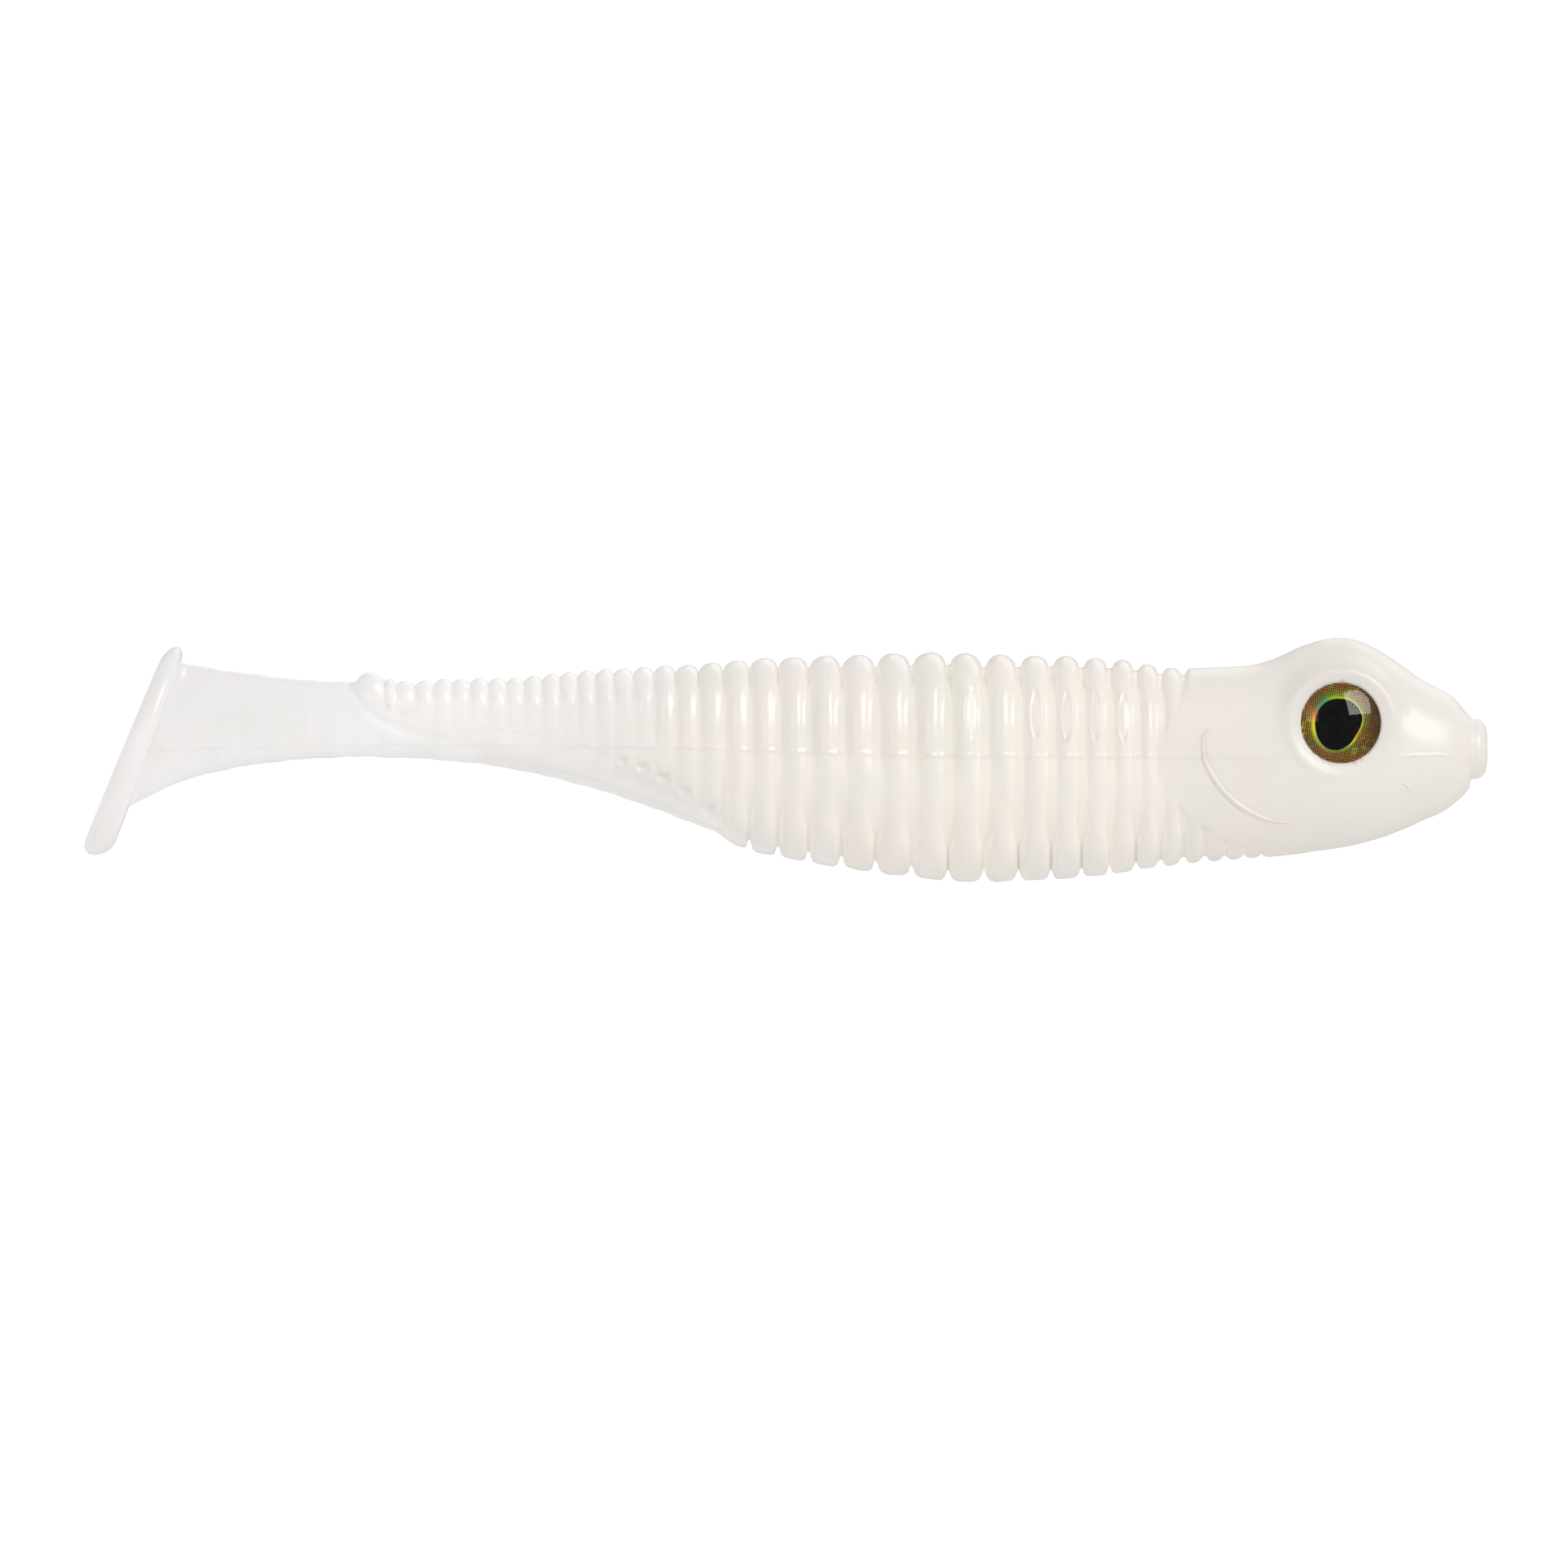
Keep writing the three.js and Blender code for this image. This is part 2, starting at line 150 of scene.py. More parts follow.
ROUNDNESS = smooth_curve([
    (1.2, 2), (5, 2.2), (10, 2.7), (14, 2.5), (20, 2.5), (30, 2.75), (56, 2.6), (68, 2.4), (84, 2.3),
])
BLADE_HALF_WIDTH = smooth_curve([(54, 3.6), (60, 2.5), (64, 2), (70, 1.6), (76, 1.38), (84, 1.25), (97, 1.2)])
BLADE_ROUNDNESS = smooth_curve([(56, 1.5), (72, 1.7), (80, 2.2), (85, 3), (97, 3.2)])
BLADE_STARTS = 56.4
BLADE_TOP = {"sunk": 0.7, "rises_over": 1.6}  # inside the mound, until the stalk
STALK_STARTS = 84
STALK_CUTS = (87.5, 91.7)
STALK_TURNS = 93.4  # behind this the rows lean more and more, like the paddle
FILLET = 0.5

NOSE = {"flat": 1.1, "radius": 2.22, "round": 0.8, "up": -0.04, "step_back": 1.2}

# Ribs: the same crests as the CAD sections, so that the joints fall in grooves.
FIRST_RIB, RIB_COUNT, THROAT_RIBS = 23.28, 34, 5
LAST_RIB_ENDS = (81.5, 83.5)  # a broader lump than the ribs before it
# The spacing of the ribs was fitted to that of the real bait's.
RIB_PITCH = smooth_curve([(16, 1.22), (24, 1.74), (41, 2.7), (62, 1.54), (67, 1.31), (83, 1.4)])
BACK_RIB_DEPTH = smooth_curve([
    (16, 0.2), (21.5, 0.5), (24, 0.55), (30, 0.8), (40, 0.97), (50, 0.85), (58, 0.62), (66, 0.4), (80, 0.36),
    (82, 0.44),
])
FLANK_DEPTH_SHARE = smooth_curve([(16, 0.5), (24, 0.55), (50, 0.56), (58, 0.42), (66, 0.24), (84, 0.22)])
FLANK_FROM = smooth_curve([(58, 0.03), (68, 0.12)])  # as a share of the way down from the back
LOW_FLANK_SHARE = 0.36  # of the flank's rib depth is left below the widest point
BELLY_RIB_DEPTH = smooth_curve([(15, 0.1), (18, 0.28), (22, 0.5), (27, 0.72), (38, 0.9), (56, 0.75)])
# 0.5 makes a rib round.
RIB_POWER = smooth_curve([(16, 0.6), (26, 0.5), (50, 0.5), (58, 0.65), (66, 0.9), (81, 0.9), (82, 0.5)])
RIB_SHARE = smooth_curve([(16, 0.86), (24, 0.76), (32, 0.82), (42, 0.88), (52, 0.94), (60, 0.99), (84, 1)])
# The flank stops its ribs at this height, in rounded ends above the smooth keel.
RIB_ENDS = smooth_curve([
    (56.3, -5.3), (57.1, -4.8), (59, -3.3), (60.5, -2.4), (62, -1.6), (63.6, -1.1), (66.5, -0.2),
    (70.1, 0.75), (75.1, 1.5), (78, 2.15), (80.9, 2.9), (82.6, 4.2),
])
FULL_RIBS_END = 56.4
RIB_END_LENGTH = 0.42
RIB_END_DIP = 0.6
CHIP = {  # a scoop at each tail rib's end, larger on the front ones
    "half_length": 0.26, "half_width": 0.34, "above_end": 0.05, "depth": 0.2, "lip": 0.1,
    "small": 0.55, "grows_by": 1.05, "grows_between": (66, 60), "waver": 0.2, "lip_at": 1.2, "lip_half": 0.3,
}
# The back edge of the head, as (up, back).
HEAD_EDGE = smooth_curve([
    (-8.8, 14), (-8, 15.2), (-7.5, 17), (-7, 18.7), (-6.05, 20.4), (-4.6, 22.2), (-3.1, 23.2), (-1.4, 23.8),
    (0.2, 23.7), (1.8, 23.1), (3.6, 22.3), (5, 21.8), (5.95, 21.5),
])
HEAD_EDGE_LENGTH = 0.95
PARTING_LINE = smooth_curve([
    (0, -0.5), (20, -0.6), (38, -0.54), (50, -0.28), (57, 0), (69, 0.2), (80, 0.3), (97, -0.1),
])
PARTING_RAISE, PARTING_HALF, PARTING_WAVE = 0.05, 0.09, 0.05

UNEVEN = 0.045  # how far the plastic wavers from its outline
UNEVEN_ON_HEAD = 0.35  # as a share of that

# Shallow almond dimples that the mould leaves on some rib crests: (back, up).
DIMPLES = [(38.2, 2.7), (33.4, 2.5), (31.1, 2.4), (29, 2.4), (26.9, 2.3)]
DIMPLE = {"half_length": 1.8, "half_width": 0.44, "depth": 0.13, "lip": 0.05}

COLUMNS_ABOVE, COLUMNS_BELOW = 52, 38  # on each side, above and below the parting line

EYE = {"back": 11.5, "up": 1.86, "radius": 3, "toe_in": math.radians(7), "rim": 5.32}
SOCKET = {
    "clear": 3.03, "snap": 0.075, "ring": 3.9, "ring_half": 0.75, "ring_raise": 0.16, "flat_to": 3.7,
    "fade_to": 5.3,
}
POCKET_DEPTH = 0.8
HEAD_BACK = 18.0  # the eye socket is shaped only in front of this

PADDLE = {  # top and foot are its thicknesses there
    "width": 10.8, "middle_up": -0.2, "half_height": 7.7, "top": 1.4, "foot": 2.15, "swell": 1.08,
    "outline_power": 0.92,
}
# The paddle's front face is where back = face's back + lean * (face's up - up).
PADDLE_FACE = {"back": 96.54, "up": 6.36, "lean": 0.363}
PADDLE_ROOT = {"flare": 0.4, "flare_length": 0.3, "sunk": 0.6}  # where the stalk runs into the plate


# ---- The moulding's surface ----

def superellipse(up, top, bottom, waist, half, roundness):
    """Half-width at a height of an oval with its widest point at the waist."""
    reach = np.where(up > waist, top - waist, waist - bottom)
    share = np.clip(np.abs(up - waist) / np.maximum(reach, 1e-6), 0, 1)
    return half * (1 - share ** roundness) ** (1 / roundness)


def half_width(back, up):
    """Half-width of the moulding at a place on its flank, at the level of the rib crests."""
    bottom = np.where(back < BLADE_STARTS, BELLY_LINE(back), MOUND_BELLY(back))
    mound = superellipse(up, BACK_LINE(back), bottom, WAIST_LINE(back), HALF_WIDTH(back), ROUNDNESS(back))
    mound = np.where(back > STALK_STARTS, 0, mound)
    risen = smoothstep(STALK_STARTS - BLADE_TOP["rises_over"], STALK_STARTS, back)
    top = BACK_LINE(back) - BLADE_TOP["sunk"] * (1 - risen)
    low = BELLY_LINE(back)
    blade = superellipse(up, top, low, (top + low) / 2, BLADE_HALF_WIDTH(back), BLADE_ROUNDNESS(back))
    blade = np.where(back < BLADE_STARTS, 0, blade)
    return smooth_max(mound, blade, FILLET)


def rib_crests():
    crests = [FIRST_RIB]

    def step(start, direction):
        return start + direction * RIB_PITCH(start + direction * RIB_PITCH(start) / 2)

    for _ in range(RIB_COUNT - 1):
        crests.append(float(step(crests[-1], 1)))
    for _ in range(THROAT_RIBS):
        crests.insert(0, float(step(crests[0], -1)))
    return np.array(crests)


CRESTS = rib_crests()
GROOVES = np.concatenate([
    [CRESTS[0] - RIB_PITCH(CRESTS[0]) / 2],
    (CRESTS[1:] + CRESTS[:-1]) / 2,
    [CRESTS[-1] + RIB_PITCH(CRESTS[-1]) / 2],
])
GROOVES[-2:] = LAST_RIB_ENDS


def groove_near(back):
    return float(GROOVES[np.argmin(np.abs(GROOVES - back))])


def rib_shape(back, up, down_share):
    """The groove depth at a place, and the share of it that is taken: 0 on a crest, 1 in a groove.

    down_share is 0 on the back and 1 on the belly.
    """
    rib = np.clip(np.searchsorted(GROOVES, back, side="right") - 1, 0, len(CRESTS) - 1)
    half = (GROOVES[rib + 1] - GROOVES[rib]) / 2
    across = np.clip(np.abs(back - (GROOVES[rib] + half)) / half, 0, 1)
    on_flank = smoothstep(0.05, 0.25, down_share) * (1 - smoothstep(0.75, 0.9, down_share))
    reach = np.clip(1 - (across / (RIB_SHARE(back) - 0.2 * on_flank)) ** 2, 0, 1)
    round_rib = reach ** (RIB_POWER(back) + (0.9 - RIB_POWER(back)) * on_flank)
    flat_rib = np.clip(1 - (across / 0.9) ** 4.5, 0, 1) ** (1 / 2.2)
    flatness = smoothstep(0.8, 0.97, down_share) * smoothstep(22, 27, back)
    profile = round_rib * (1 - flatness) + flat_rib * flatness
    below_end = (RIB_ENDS(CRESTS[rib]) - up) / RIB_END_LENGTH
    full_length = CRESTS[rib] < FULL_RIBS_END
    end = np.where(full_length, 1, 1 - RIB_END_DIP * smoothstep(0, 1, below_end))
    keel = np.where(full_length, 1, 1 - smoothstep(0.4, 1.6, (RIB_ENDS(back) - up) / RIB_END_LENGTH))
    belly = BELLY_RIB_DEPTH(back) * smoothstep(0.6, 0.95, down_share)
    belly = belly * (1 - smoothstep(FULL_RIBS_END - 1.1, FULL_RIBS_END - 0.7, back))
    flank = 1 - (1 - FLANK_DEPTH_SHARE(back)) * smoothstep(0, 0.22, down_share - FLANK_FROM(back))
    flank *= 1 - (1 - LOW_FLANK_SHARE) * smoothstep(0.4, 0.6, down_share)
    above_belly = np.where(full_length, 1 - smoothstep(0.6, 0.95, down_share), 1)
    depth = belly + BACK_RIB_DEPTH(back) * flank * above_belly
    behind_head = smoothstep(0, HEAD_EDGE_LENGTH, back - HEAD_EDGE(up))
    before_stalk = 1 - smoothstep(CRESTS[-1], CRESTS[-1] + 0.3, back)
    return depth, (1 - profile * end) * keel * behind_head * before_stalk


def chip_shape(back, up):
    """The small scoop at each tail rib's end, and the lip round it, both as shares of their height."""
    rib = np.clip(np.searchsorted(GROOVES, back, side="right") - 1, 0, len(CRESTS) - 1)
    size = CHIP["small"] + CHIP["grows_by"] * smoothstep(*CHIP["grows_between"], CRESTS[rib])
    size = size * (1 + CHIP["waver"] * np.sin(5.3 * rib))
    along = (up - RIB_ENDS(CRESTS[rib]) - CHIP["above_end"]) / (size * CHIP["half_length"])
    across = (back - CRESTS[rib]) / (size * CHIP["half_width"])
    away = np.hypot(along, across)
    scoop = size * np.sqrt(np.clip(1 - away ** 2, 0, 1))
    lip = size * np.exp(-((away - CHIP["lip_at"]) / CHIP["lip_half"]) ** 2) * smoothstep(0.5, -0.2, along)
    has_chip = CRESTS[rib] >= FULL_RIBS_END
    return has_chip * scoop, has_chip * lip


def dimple_sink(back, up):
    sink = np.zeros_like(up)
    for dimple_back, dimple_up in DIMPLES:
        along = (up - dimple_up) / DIMPLE["half_length"]
        half = DIMPLE["half_width"] * np.sqrt(np.clip(1 - along ** 2, 1e-4, 1))
        across = np.abs(back - dimple_back) / half
        inside = np.clip(1 - across ** 2, 0, 1) * (np.abs(along) < 1)
        lip = np.exp(-((across - 1.1) / 0.3) ** 2) * (np.abs(along) < 1)
        sink += DIMPLE["depth"] * np.sqrt(inside) - DIMPLE["lip"] * lip
    return sink


def add_socket(back, side, up):
    """Flattens the head round the eye, raises a soft ring there and sinks a pocket for the eye."""
    sine, cosine = math.sin(EYE["toe_in"]), math.cos(EYE["toe_in"])
    forward = EYE["back"] - back
    across, above = forward * cosine - side * sine, up - EYE["up"]
    depth = forward * sine + side * cosine
    away = np.hypot(across, above)
    near = 1 - smoothstep(SOCKET["flat_to"], SOCKET["fade_to"], away)
    depth = depth + (EYE["rim"] - depth) * near
    ring = np.clip(np.abs(away - SOCKET["ring"]) / SOCKET["ring_half"], 0, 1)
    depth = depth + SOCKET["ring_raise"] * (0.5 + 0.5 * np.cos(math.pi * ring))
    depth = depth - POCKET_DEPTH * (away < SOCKET["clear"] - SOCKET["snap"])
    on_edge = np.abs(away - SOCKET["clear"]) <= SOCKET["snap"]
    # Points near the pocket's edge are pulled onto it, so that it is a clean circle.
    pull = np.where(on_edge, SOCKET["clear"] / np.maximum(away, 1), 1)
    across, above = across * pull, above * pull
    moved = (EYE["back"] - across * cosine - depth * sine, depth * cosine - across * sine, above + EYE["up"])
    return [np.where(side > 1, new, old) for new, old in zip(moved, (back, side, up))]


def half_ring(base, lean=0.0):
    """One side of a section, from the top of the back to the belly, in the plane back = base - lean * up."""
    top = bottom = 0.0
    for _ in range(12):
        top = float(BACK_LINE(base - lean * top))
        bottom = float(BELLY_LINE(base - lean * bottom))
    waist = (top + bottom) / 2
    turn = np.linspace(0, math.pi, 601)
    up = waist + (top - bottom) / 2 * np.cos(turn)
    back = base - lean * up
    side = half_width(back, up)
    side[0] = side[-1] = 0
    length = np.concatenate([[0], np.cumsum(np.hypot(np.diff(side), np.diff(up)))])
    wave = PARTING_WAVE * math.sin(2.9 * base) * math.sin(1.1 * base + 1)
    parting = np.interp(-float(PARTING_LINE(base)) - wave, -up, length)
    places = np.concatenate([
        np.linspace(0, parting - PARTING_HALF, COLUMNS_ABOVE),
        [parting],
        np.linspace(parting + PARTING_HALF, length[-1], COLUMNS_BELOW),
    ])
    side, up = np.interp(places, length, side), np.interp(places, length, up)
    down_share = (top - up) / (top - bottom)
    return base - lean * up, side, up, down_share


def outward(side, up):
    """Outward unit normals of a half section."""
    across = np.gradient(np.concatenate([[-side[1]], side, [-side[-2]]]))[1:-1]
    down = np.gradient(np.concatenate([[up[1]], up, [up[-2]]]))[1:-1]
    size = np.hypot(across, down)
    return -down / size, across / size


def skin_row(base, lean=0.0):
    back, side, up, down_share = half_ring(base, lean)
    normal_side, normal_up = outward(side, up)
    depth, sunk_share = rib_shape(back, up, down_share)
    scoop, lip = chip_shape(back, up)
    raise_by = CHIP["lip"] * lip - CHIP["depth"] * scoop - depth * sunk_share - dimple_sink(back, up)
    uneven = UNEVEN * (UNEVEN_ON_HEAD + (1 - UNEVEN_ON_HEAD) * smoothstep(20, 26, base))
    raise_by += uneven * np.sin(2.3 * base) * np.sin(0.83 * base + 0.35 * up)
    raise_by[COLUMNS_ABOVE] += PARTING_RAISE * (1 + 0.5 * math.sin(2.1 * base) * math.sin(0.7 * base))
    side = side + raise_by * normal_side
    up = up + raise_by * normal_up
    side[0] = side[-1] = 0
    if base < HEAD_BACK:
        back, side, up = add_socket(back, side, up)
    return np.stack([back, side, up], axis=1)


def nose_row(back, radius):
    """A ring of the small disc on the nose."""
    turn = np.linspace(0, math.pi, COLUMNS_ABOVE + 1 + COLUMNS_BELOW)
    up = NOSE["up"] + radius * np.cos(turn)
    return np.stack([np.full_like(turn, back), radius * np.sin(turn), up], axis=1)


TURNS = (-90, -70, -52, -32, -12, 12, 32, 52, 70, 90)  # places across a rib, as angles round it
FINE_TURNS = (-90, -70, -56, -45, -37, *range(-30, 31, 5), 37, 45, 56, 70, 90)


def rib_stations(low, high):
    """Where rows go across the ribs: close together on the steep shoulders."""
    stations = []
    for rib, crest in enumerate(CRESTS):
        half = (GROOVES[rib + 1] - GROOVES[rib]) / 2
        shoulder = float(RIB_SHARE(crest)) * half
        dimpled = min(abs(crest - back) for back, _ in DIMPLES) < 0.8
        for turn in (FINE_TURNS if dimpled else TURNS):
            station = crest_middle(rib) + shoulder * math.sin(math.radians(turn))
            if min(station - GROOVES[rib], GROOVES[rib + 1] - station) > 0.03:
                stations.append(station)
        stations.append(float(GROOVES[rib + 1]))
    return [s for s in stations if low < s < high]


def crest_middle(rib):
    return float(GROOVES[rib] + GROOVES[rib + 1]) / 2


def skin_rows():
    """Every row of the moulding from nose to paddle, as (a number that sorts it, points).

    The number is the row's distance back, except -1 on the nose and STALK_TURNS and more where rows lean.
    """
    rows = [(-1.0, nose_row(0, radius)) for radius in (0.35, 0.8, 1.2)]
    for turn in np.linspace(0, math.pi / 2, 7):
        radius = NOSE["flat"] + (NOSE["radius"] - NOSE["flat"]) * math.sin(turn)
        rows.append((-1.0, nose_row(NOSE["round"] * (1 - math.cos(turn)), radius)))
    rows.append((-1.0, nose_row(NOSE["step_back"] - 0.15, NOSE["radius"])))
    head = np.concatenate([
        [1.2, 1.24, 1.3, 1.38, 1.5],
        np.arange(1.65, 7.4, 0.2),
        np.arange(7.45, 14.6, 0.12),
        np.arange(14.7, GROOVES[0], 0.2),
    ])
    ribbed = [float(GROOVES[0])] + rib_stations(GROOVES[0] + 0.02, GROOVES[-1] + 0.01)
    stalk = np.concatenate([np.arange(GROOVES[-1] + 0.1, 84.6, 0.12), np.arange(84.7, STALK_TURNS, 0.35)])
    stalk = sorted(set(np.round(stalk, 4)) | set(STALK_CUTS))
    rows += [(float(base), skin_row(float(base))) for base in [*head, *ribbed, *stalk]]
    shares = 1 - (1 - np.linspace(0, 1, 15)) ** 1.6
    face_base = PADDLE_FACE["back"] + PADDLE_FACE["lean"] * PADDLE_FACE["up"]
    for share in shares:
        base = STALK_TURNS + (face_base - STALK_TURNS) * share
        row = skin_row(base, PADDLE_FACE["lean"] * share)
        distance = (1 - share) * (PADDLE_FACE["back"] - STALK_TURNS)
        row[1:-1, 1] += PADDLE_ROOT["flare"] * math.exp(-distance / PADDLE_ROOT["flare_length"])
        rows.append((STALK_TURNS + share, row))
    sunk = rows[-1][1].copy()
    sunk[:, 0] += PADDLE_ROOT["sunk"]
    rows.append((STALK_TURNS + 2, sunk))
    return rows


# ---- Meshes ----

def to_metres(points):
    back, side, up = np.asarray(points, float).T
    return np.stack([-back, side, up], axis=1) * MM


def ring_of(row):
    """A whole ring from one half: down the left flank and up the right."""
    left = row * (1, LEFT, 1)
    right = row[-2:0:-1] * (1, RIGHT, 1)
    return to_metres(np.concatenate([left, right]))


def new_piece(name, vertices, faces):
    mesh = bpy.data.meshes.new(name)
    mesh.from_pydata([tuple(v) for v in vertices], [], faces)
    mesh.update()
    piece = bpy.data.objects.new(name, mesh)
    bpy.context.scene.collection.objects.link(piece)
    for polygon in mesh.polygons:
        polygon.use_smooth = True
    return piece


def open_shell(piece):
    """A piece's mesh, opened for editing."""
    shell = bmesh.new()
    shell.from_mesh(piece.data)
    return shell


def close_shell(shell, piece):
    shell.to_mesh(piece.data)
    shell.free()


def keep_places(piece, places=None):
    """Stores each point's place at rest, in millimetres, for the material to read."""
    if places is None:
        places = np.array([v.co for v in piece.data.vertices], float) / MM
    attribute = piece.data.attributes.new("rest", "FLOAT_VECTOR", "POINT")
    attribute.data.foreach_set("vector", np.asarray(places, np.float32).ravel())


def keep_number(piece, name, values):
    attribute = piece.data.attributes.new(name, "FLOAT", "POINT")
    attribute.data.foreach_set("value", np.asarray(values, np.float32))


def keep_plastic_places(piece, groove=None):
    """Stores the plastic's thickness, its lips and its grooves (the masks for a painted highlight and for
    painted light), as well as its places at rest.

    Where groove is given, it stands for the whole piece.
    """
    keep_places(piece)
    x, _, up = (np.array([v.co for v in piece.data.vertices], float) / MM).T
    back = -x
    top, bottom = BACK_LINE(back), BELLY_LINE(back)
    down_share = np.clip((top - up) / (top - bottom), 0, 1)
    on_plate = back > PADDLE_FACE["back"] + PADDLE_FACE["lean"] * (PADDLE_FACE["up"] - up) - 0.05
    thickness = np.where(on_plate, PADDLE["foot"], 2 * half_width(back, np.clip(up, bottom + 0.4, top - 0.4)))
    keep_number(piece, "thickness", thickness)
    # Painted highlight: a band just above the mound's lower edge on the rear tail, and the lips round the
    # rib-end scoops, are marked to be painted near white, standing in for the light they catch.
    mound_lip_highlight = np.exp(-((up - MOUND_BELLY(back) - 0.3) / 0.35) ** 2)
    mound_lip_highlight *= smoothstep(70, 77, back) * smoothstep(STALK_STARTS + 0.2, STALK_STARTS - 0.4, back)
    keep_number(piece, "lip", np.clip(np.maximum(mound_lip_highlight, chip_shape(back, up)[1]), 0, 1))
    # The groove share is also the mask for the painted light that the material puts in the grooves.
    sunk_share = rib_shape(back, up, down_share)[1]
    keep_number(piece, "groove", sunk_share if groove is None else np.full_like(up, groove))


def tube_faces(rings, count, closed_start=False):
    faces = []
    for row in range(rings - 1):
        for i in range(count):
            j = (i + 1) % count
            faces.append((row * count + i, row * count + j, (row + 1) * count + j, (row + 1) * count + i))
    if closed_start:
        middle = rings * count
        faces += [(middle, (i + 1) % count, i) for i in range(count)]
    return faces


def skin_piece(name, rows, nose=False):
    rings = [ring_of(row) for _, row in rows]
    count = len(rings[0])
    vertices = np.concatenate(rings)
    if nose:
        vertices = np.concatenate([vertices, to_metres([(0, 0, NOSE["up"])])])
    return new_piece(name, vertices, tube_faces(len(rings), count, closed_start=nose))


def paddle_plate():
    """The rounded plate on the stalk's end, thicker at the foot, as one closed shell."""
    count = 96
    shares = [0.25, 0.5, 0.72, 0.86]
    edge = [(0.86 + 0.14 * math.sin(t), math.cos(t)) for t in np.linspace(0, math.pi, 13)[1:-1]]
    profile = [(s, 1.0) for s in shares] + edge + [(s, -1.0) for s in reversed(shares)]
    power = PADDLE["outline_power"]
    vertices = []

    def place(across, along, face):
        """across and along are -1..1 over the plate; face is 1 on its front and -1 on its rear."""
        up = PADDLE["middle_up"] + along * PADDLE["half_height"]
        front = PADDLE_FACE["back"] + PADDLE_FACE["lean"] * (PADDLE_FACE["up"] - up)
        toward_foot = (1 - along) / 2
        thick = (PADDLE["top"] + (PADDLE["foot"] - PADDLE["top"]) * toward_foot) * PADDLE["swell"]
        return (front + thick * (1 - face) / 2, across * PADDLE["width"] / 2, up)

    for share, face in profile:
        for turn in np.linspace(0, 2 * math.pi, count, endpoint=False):
            across = np.sign(math.sin(turn)) * abs(math.sin(turn)) ** power
            along = np.sign(math.cos(turn)) * abs(math.cos(turn)) ** power
            vertices.append(place(share * across, share * along, face))
    rings = len(profile)
    vertices += [place(0, 0, 1), place(0, 0, -1)]
    faces = tube_faces(rings, count)
    front, rear = rings * count, rings * count + 1
    last = (rings - 1) * count
    faces += [(front, (i + 1) % count, i) for i in range(count)]
    faces += [(rear, last + i, last + (i + 1) % count) for i in range(count)]
    return new_piece("paddle_plate", to_metres(vertices), faces)


def join_solid(piece, other):
    """Adds another closed shell to a piece, as one surface."""
    modifier = piece.modifiers.new("join", "BOOLEAN")
    modifier.operation = "UNION"
    modifier.solver = "EXACT"
    modifier.object = other
    graph = bpy.context.evaluated_depsgraph_get()
    joined = bpy.data.meshes.new_from_object(piece.evaluated_get(graph))
    piece.modifiers.clear()
    piece.data = joined
    bpy.data.objects.remove(other)


def fill_open_ends(piece):
    """Closes each open ring with one face."""
    shell = open_shell(piece)
    edges = [e for e in shell.edges if e.is_boundary]
    bmesh.ops.holes_fill(shell, edges=edges, sides=0)
    bmesh.ops.recalc_face_normals(shell, faces=shell.faces)
    close_shell(shell, piece)


def open_front(piece, back):
    """Takes away the flat face at a distance back, so that the piece meets its neighbour."""
    shell = open_shell(piece)
    x = -back * MM
    caps = [f for f in shell.faces if all(abs(v.co.x - x) < 1e-6 for v in f.verts)]
    bmesh.ops.delete(shell, geom=caps, context="FACES")
    close_shell(shell, piece)


# ---- The moulding's pieces: one across each joint, cut in grooves midway between joints ----

sections = list(frame["record"]["behaviour"]["bodies"])
joints = {j["child"]: j for j in frame["record"]["behaviour"]["joints"]}
order = sorted(sections, key=lambda body: -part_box(body)[1][0])
hinge_backs = [-joints[body]["pos_m"][0] / MM for body in order[1:]]


def cut_between(first, second):
    middle = (first + second) / 2
    if middle < GROOVES[-1]:
        return groove_near(middle)
    return min(STALK_CUTS, key=lambda cut: abs(cut - middle))


cuts = [cut_between(a, b) for a, b in zip(hinge_backs, hinge_backs[1:])]
rows = skin_rows()
moulding = []
for i, (first, second) in enumerate(zip(order, order[1:])):
    low = cuts[i - 1] if i else -2
    high = cuts[i] if i < len(cuts) else 200
    own = [row for row in rows if low - 1e-3 <= row[0] <= high + 1e-3]
    piece = skin_piece(f"{first}_skin", own, nose=i == 0)
    if second == "paddle":
        fill_open_ends(piece)
        join_solid(piece, paddle_plate())
        open_front(piece, low)
        for polygon in piece.data.polygons:
            polygon.use_smooth = True
    keep_plastic_places(piece)
    moulding.append(piece)
    web = next(n for n in frame["record"]["behaviour"]["bodies"][first] if n.endswith("_web"))
    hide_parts(first, web, *(["paddle"] if second == "paddle" else []))
    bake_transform(piece)


# ---- Details on the head ----

def on_surface(back, up, side_sign, lift=0.0):
    """A point on the flank, in metres."""
    side = float(half_width(np.array(back), np.array(up))) + lift
    return Vector((-back * MM, side_sign * side * MM, up * MM))


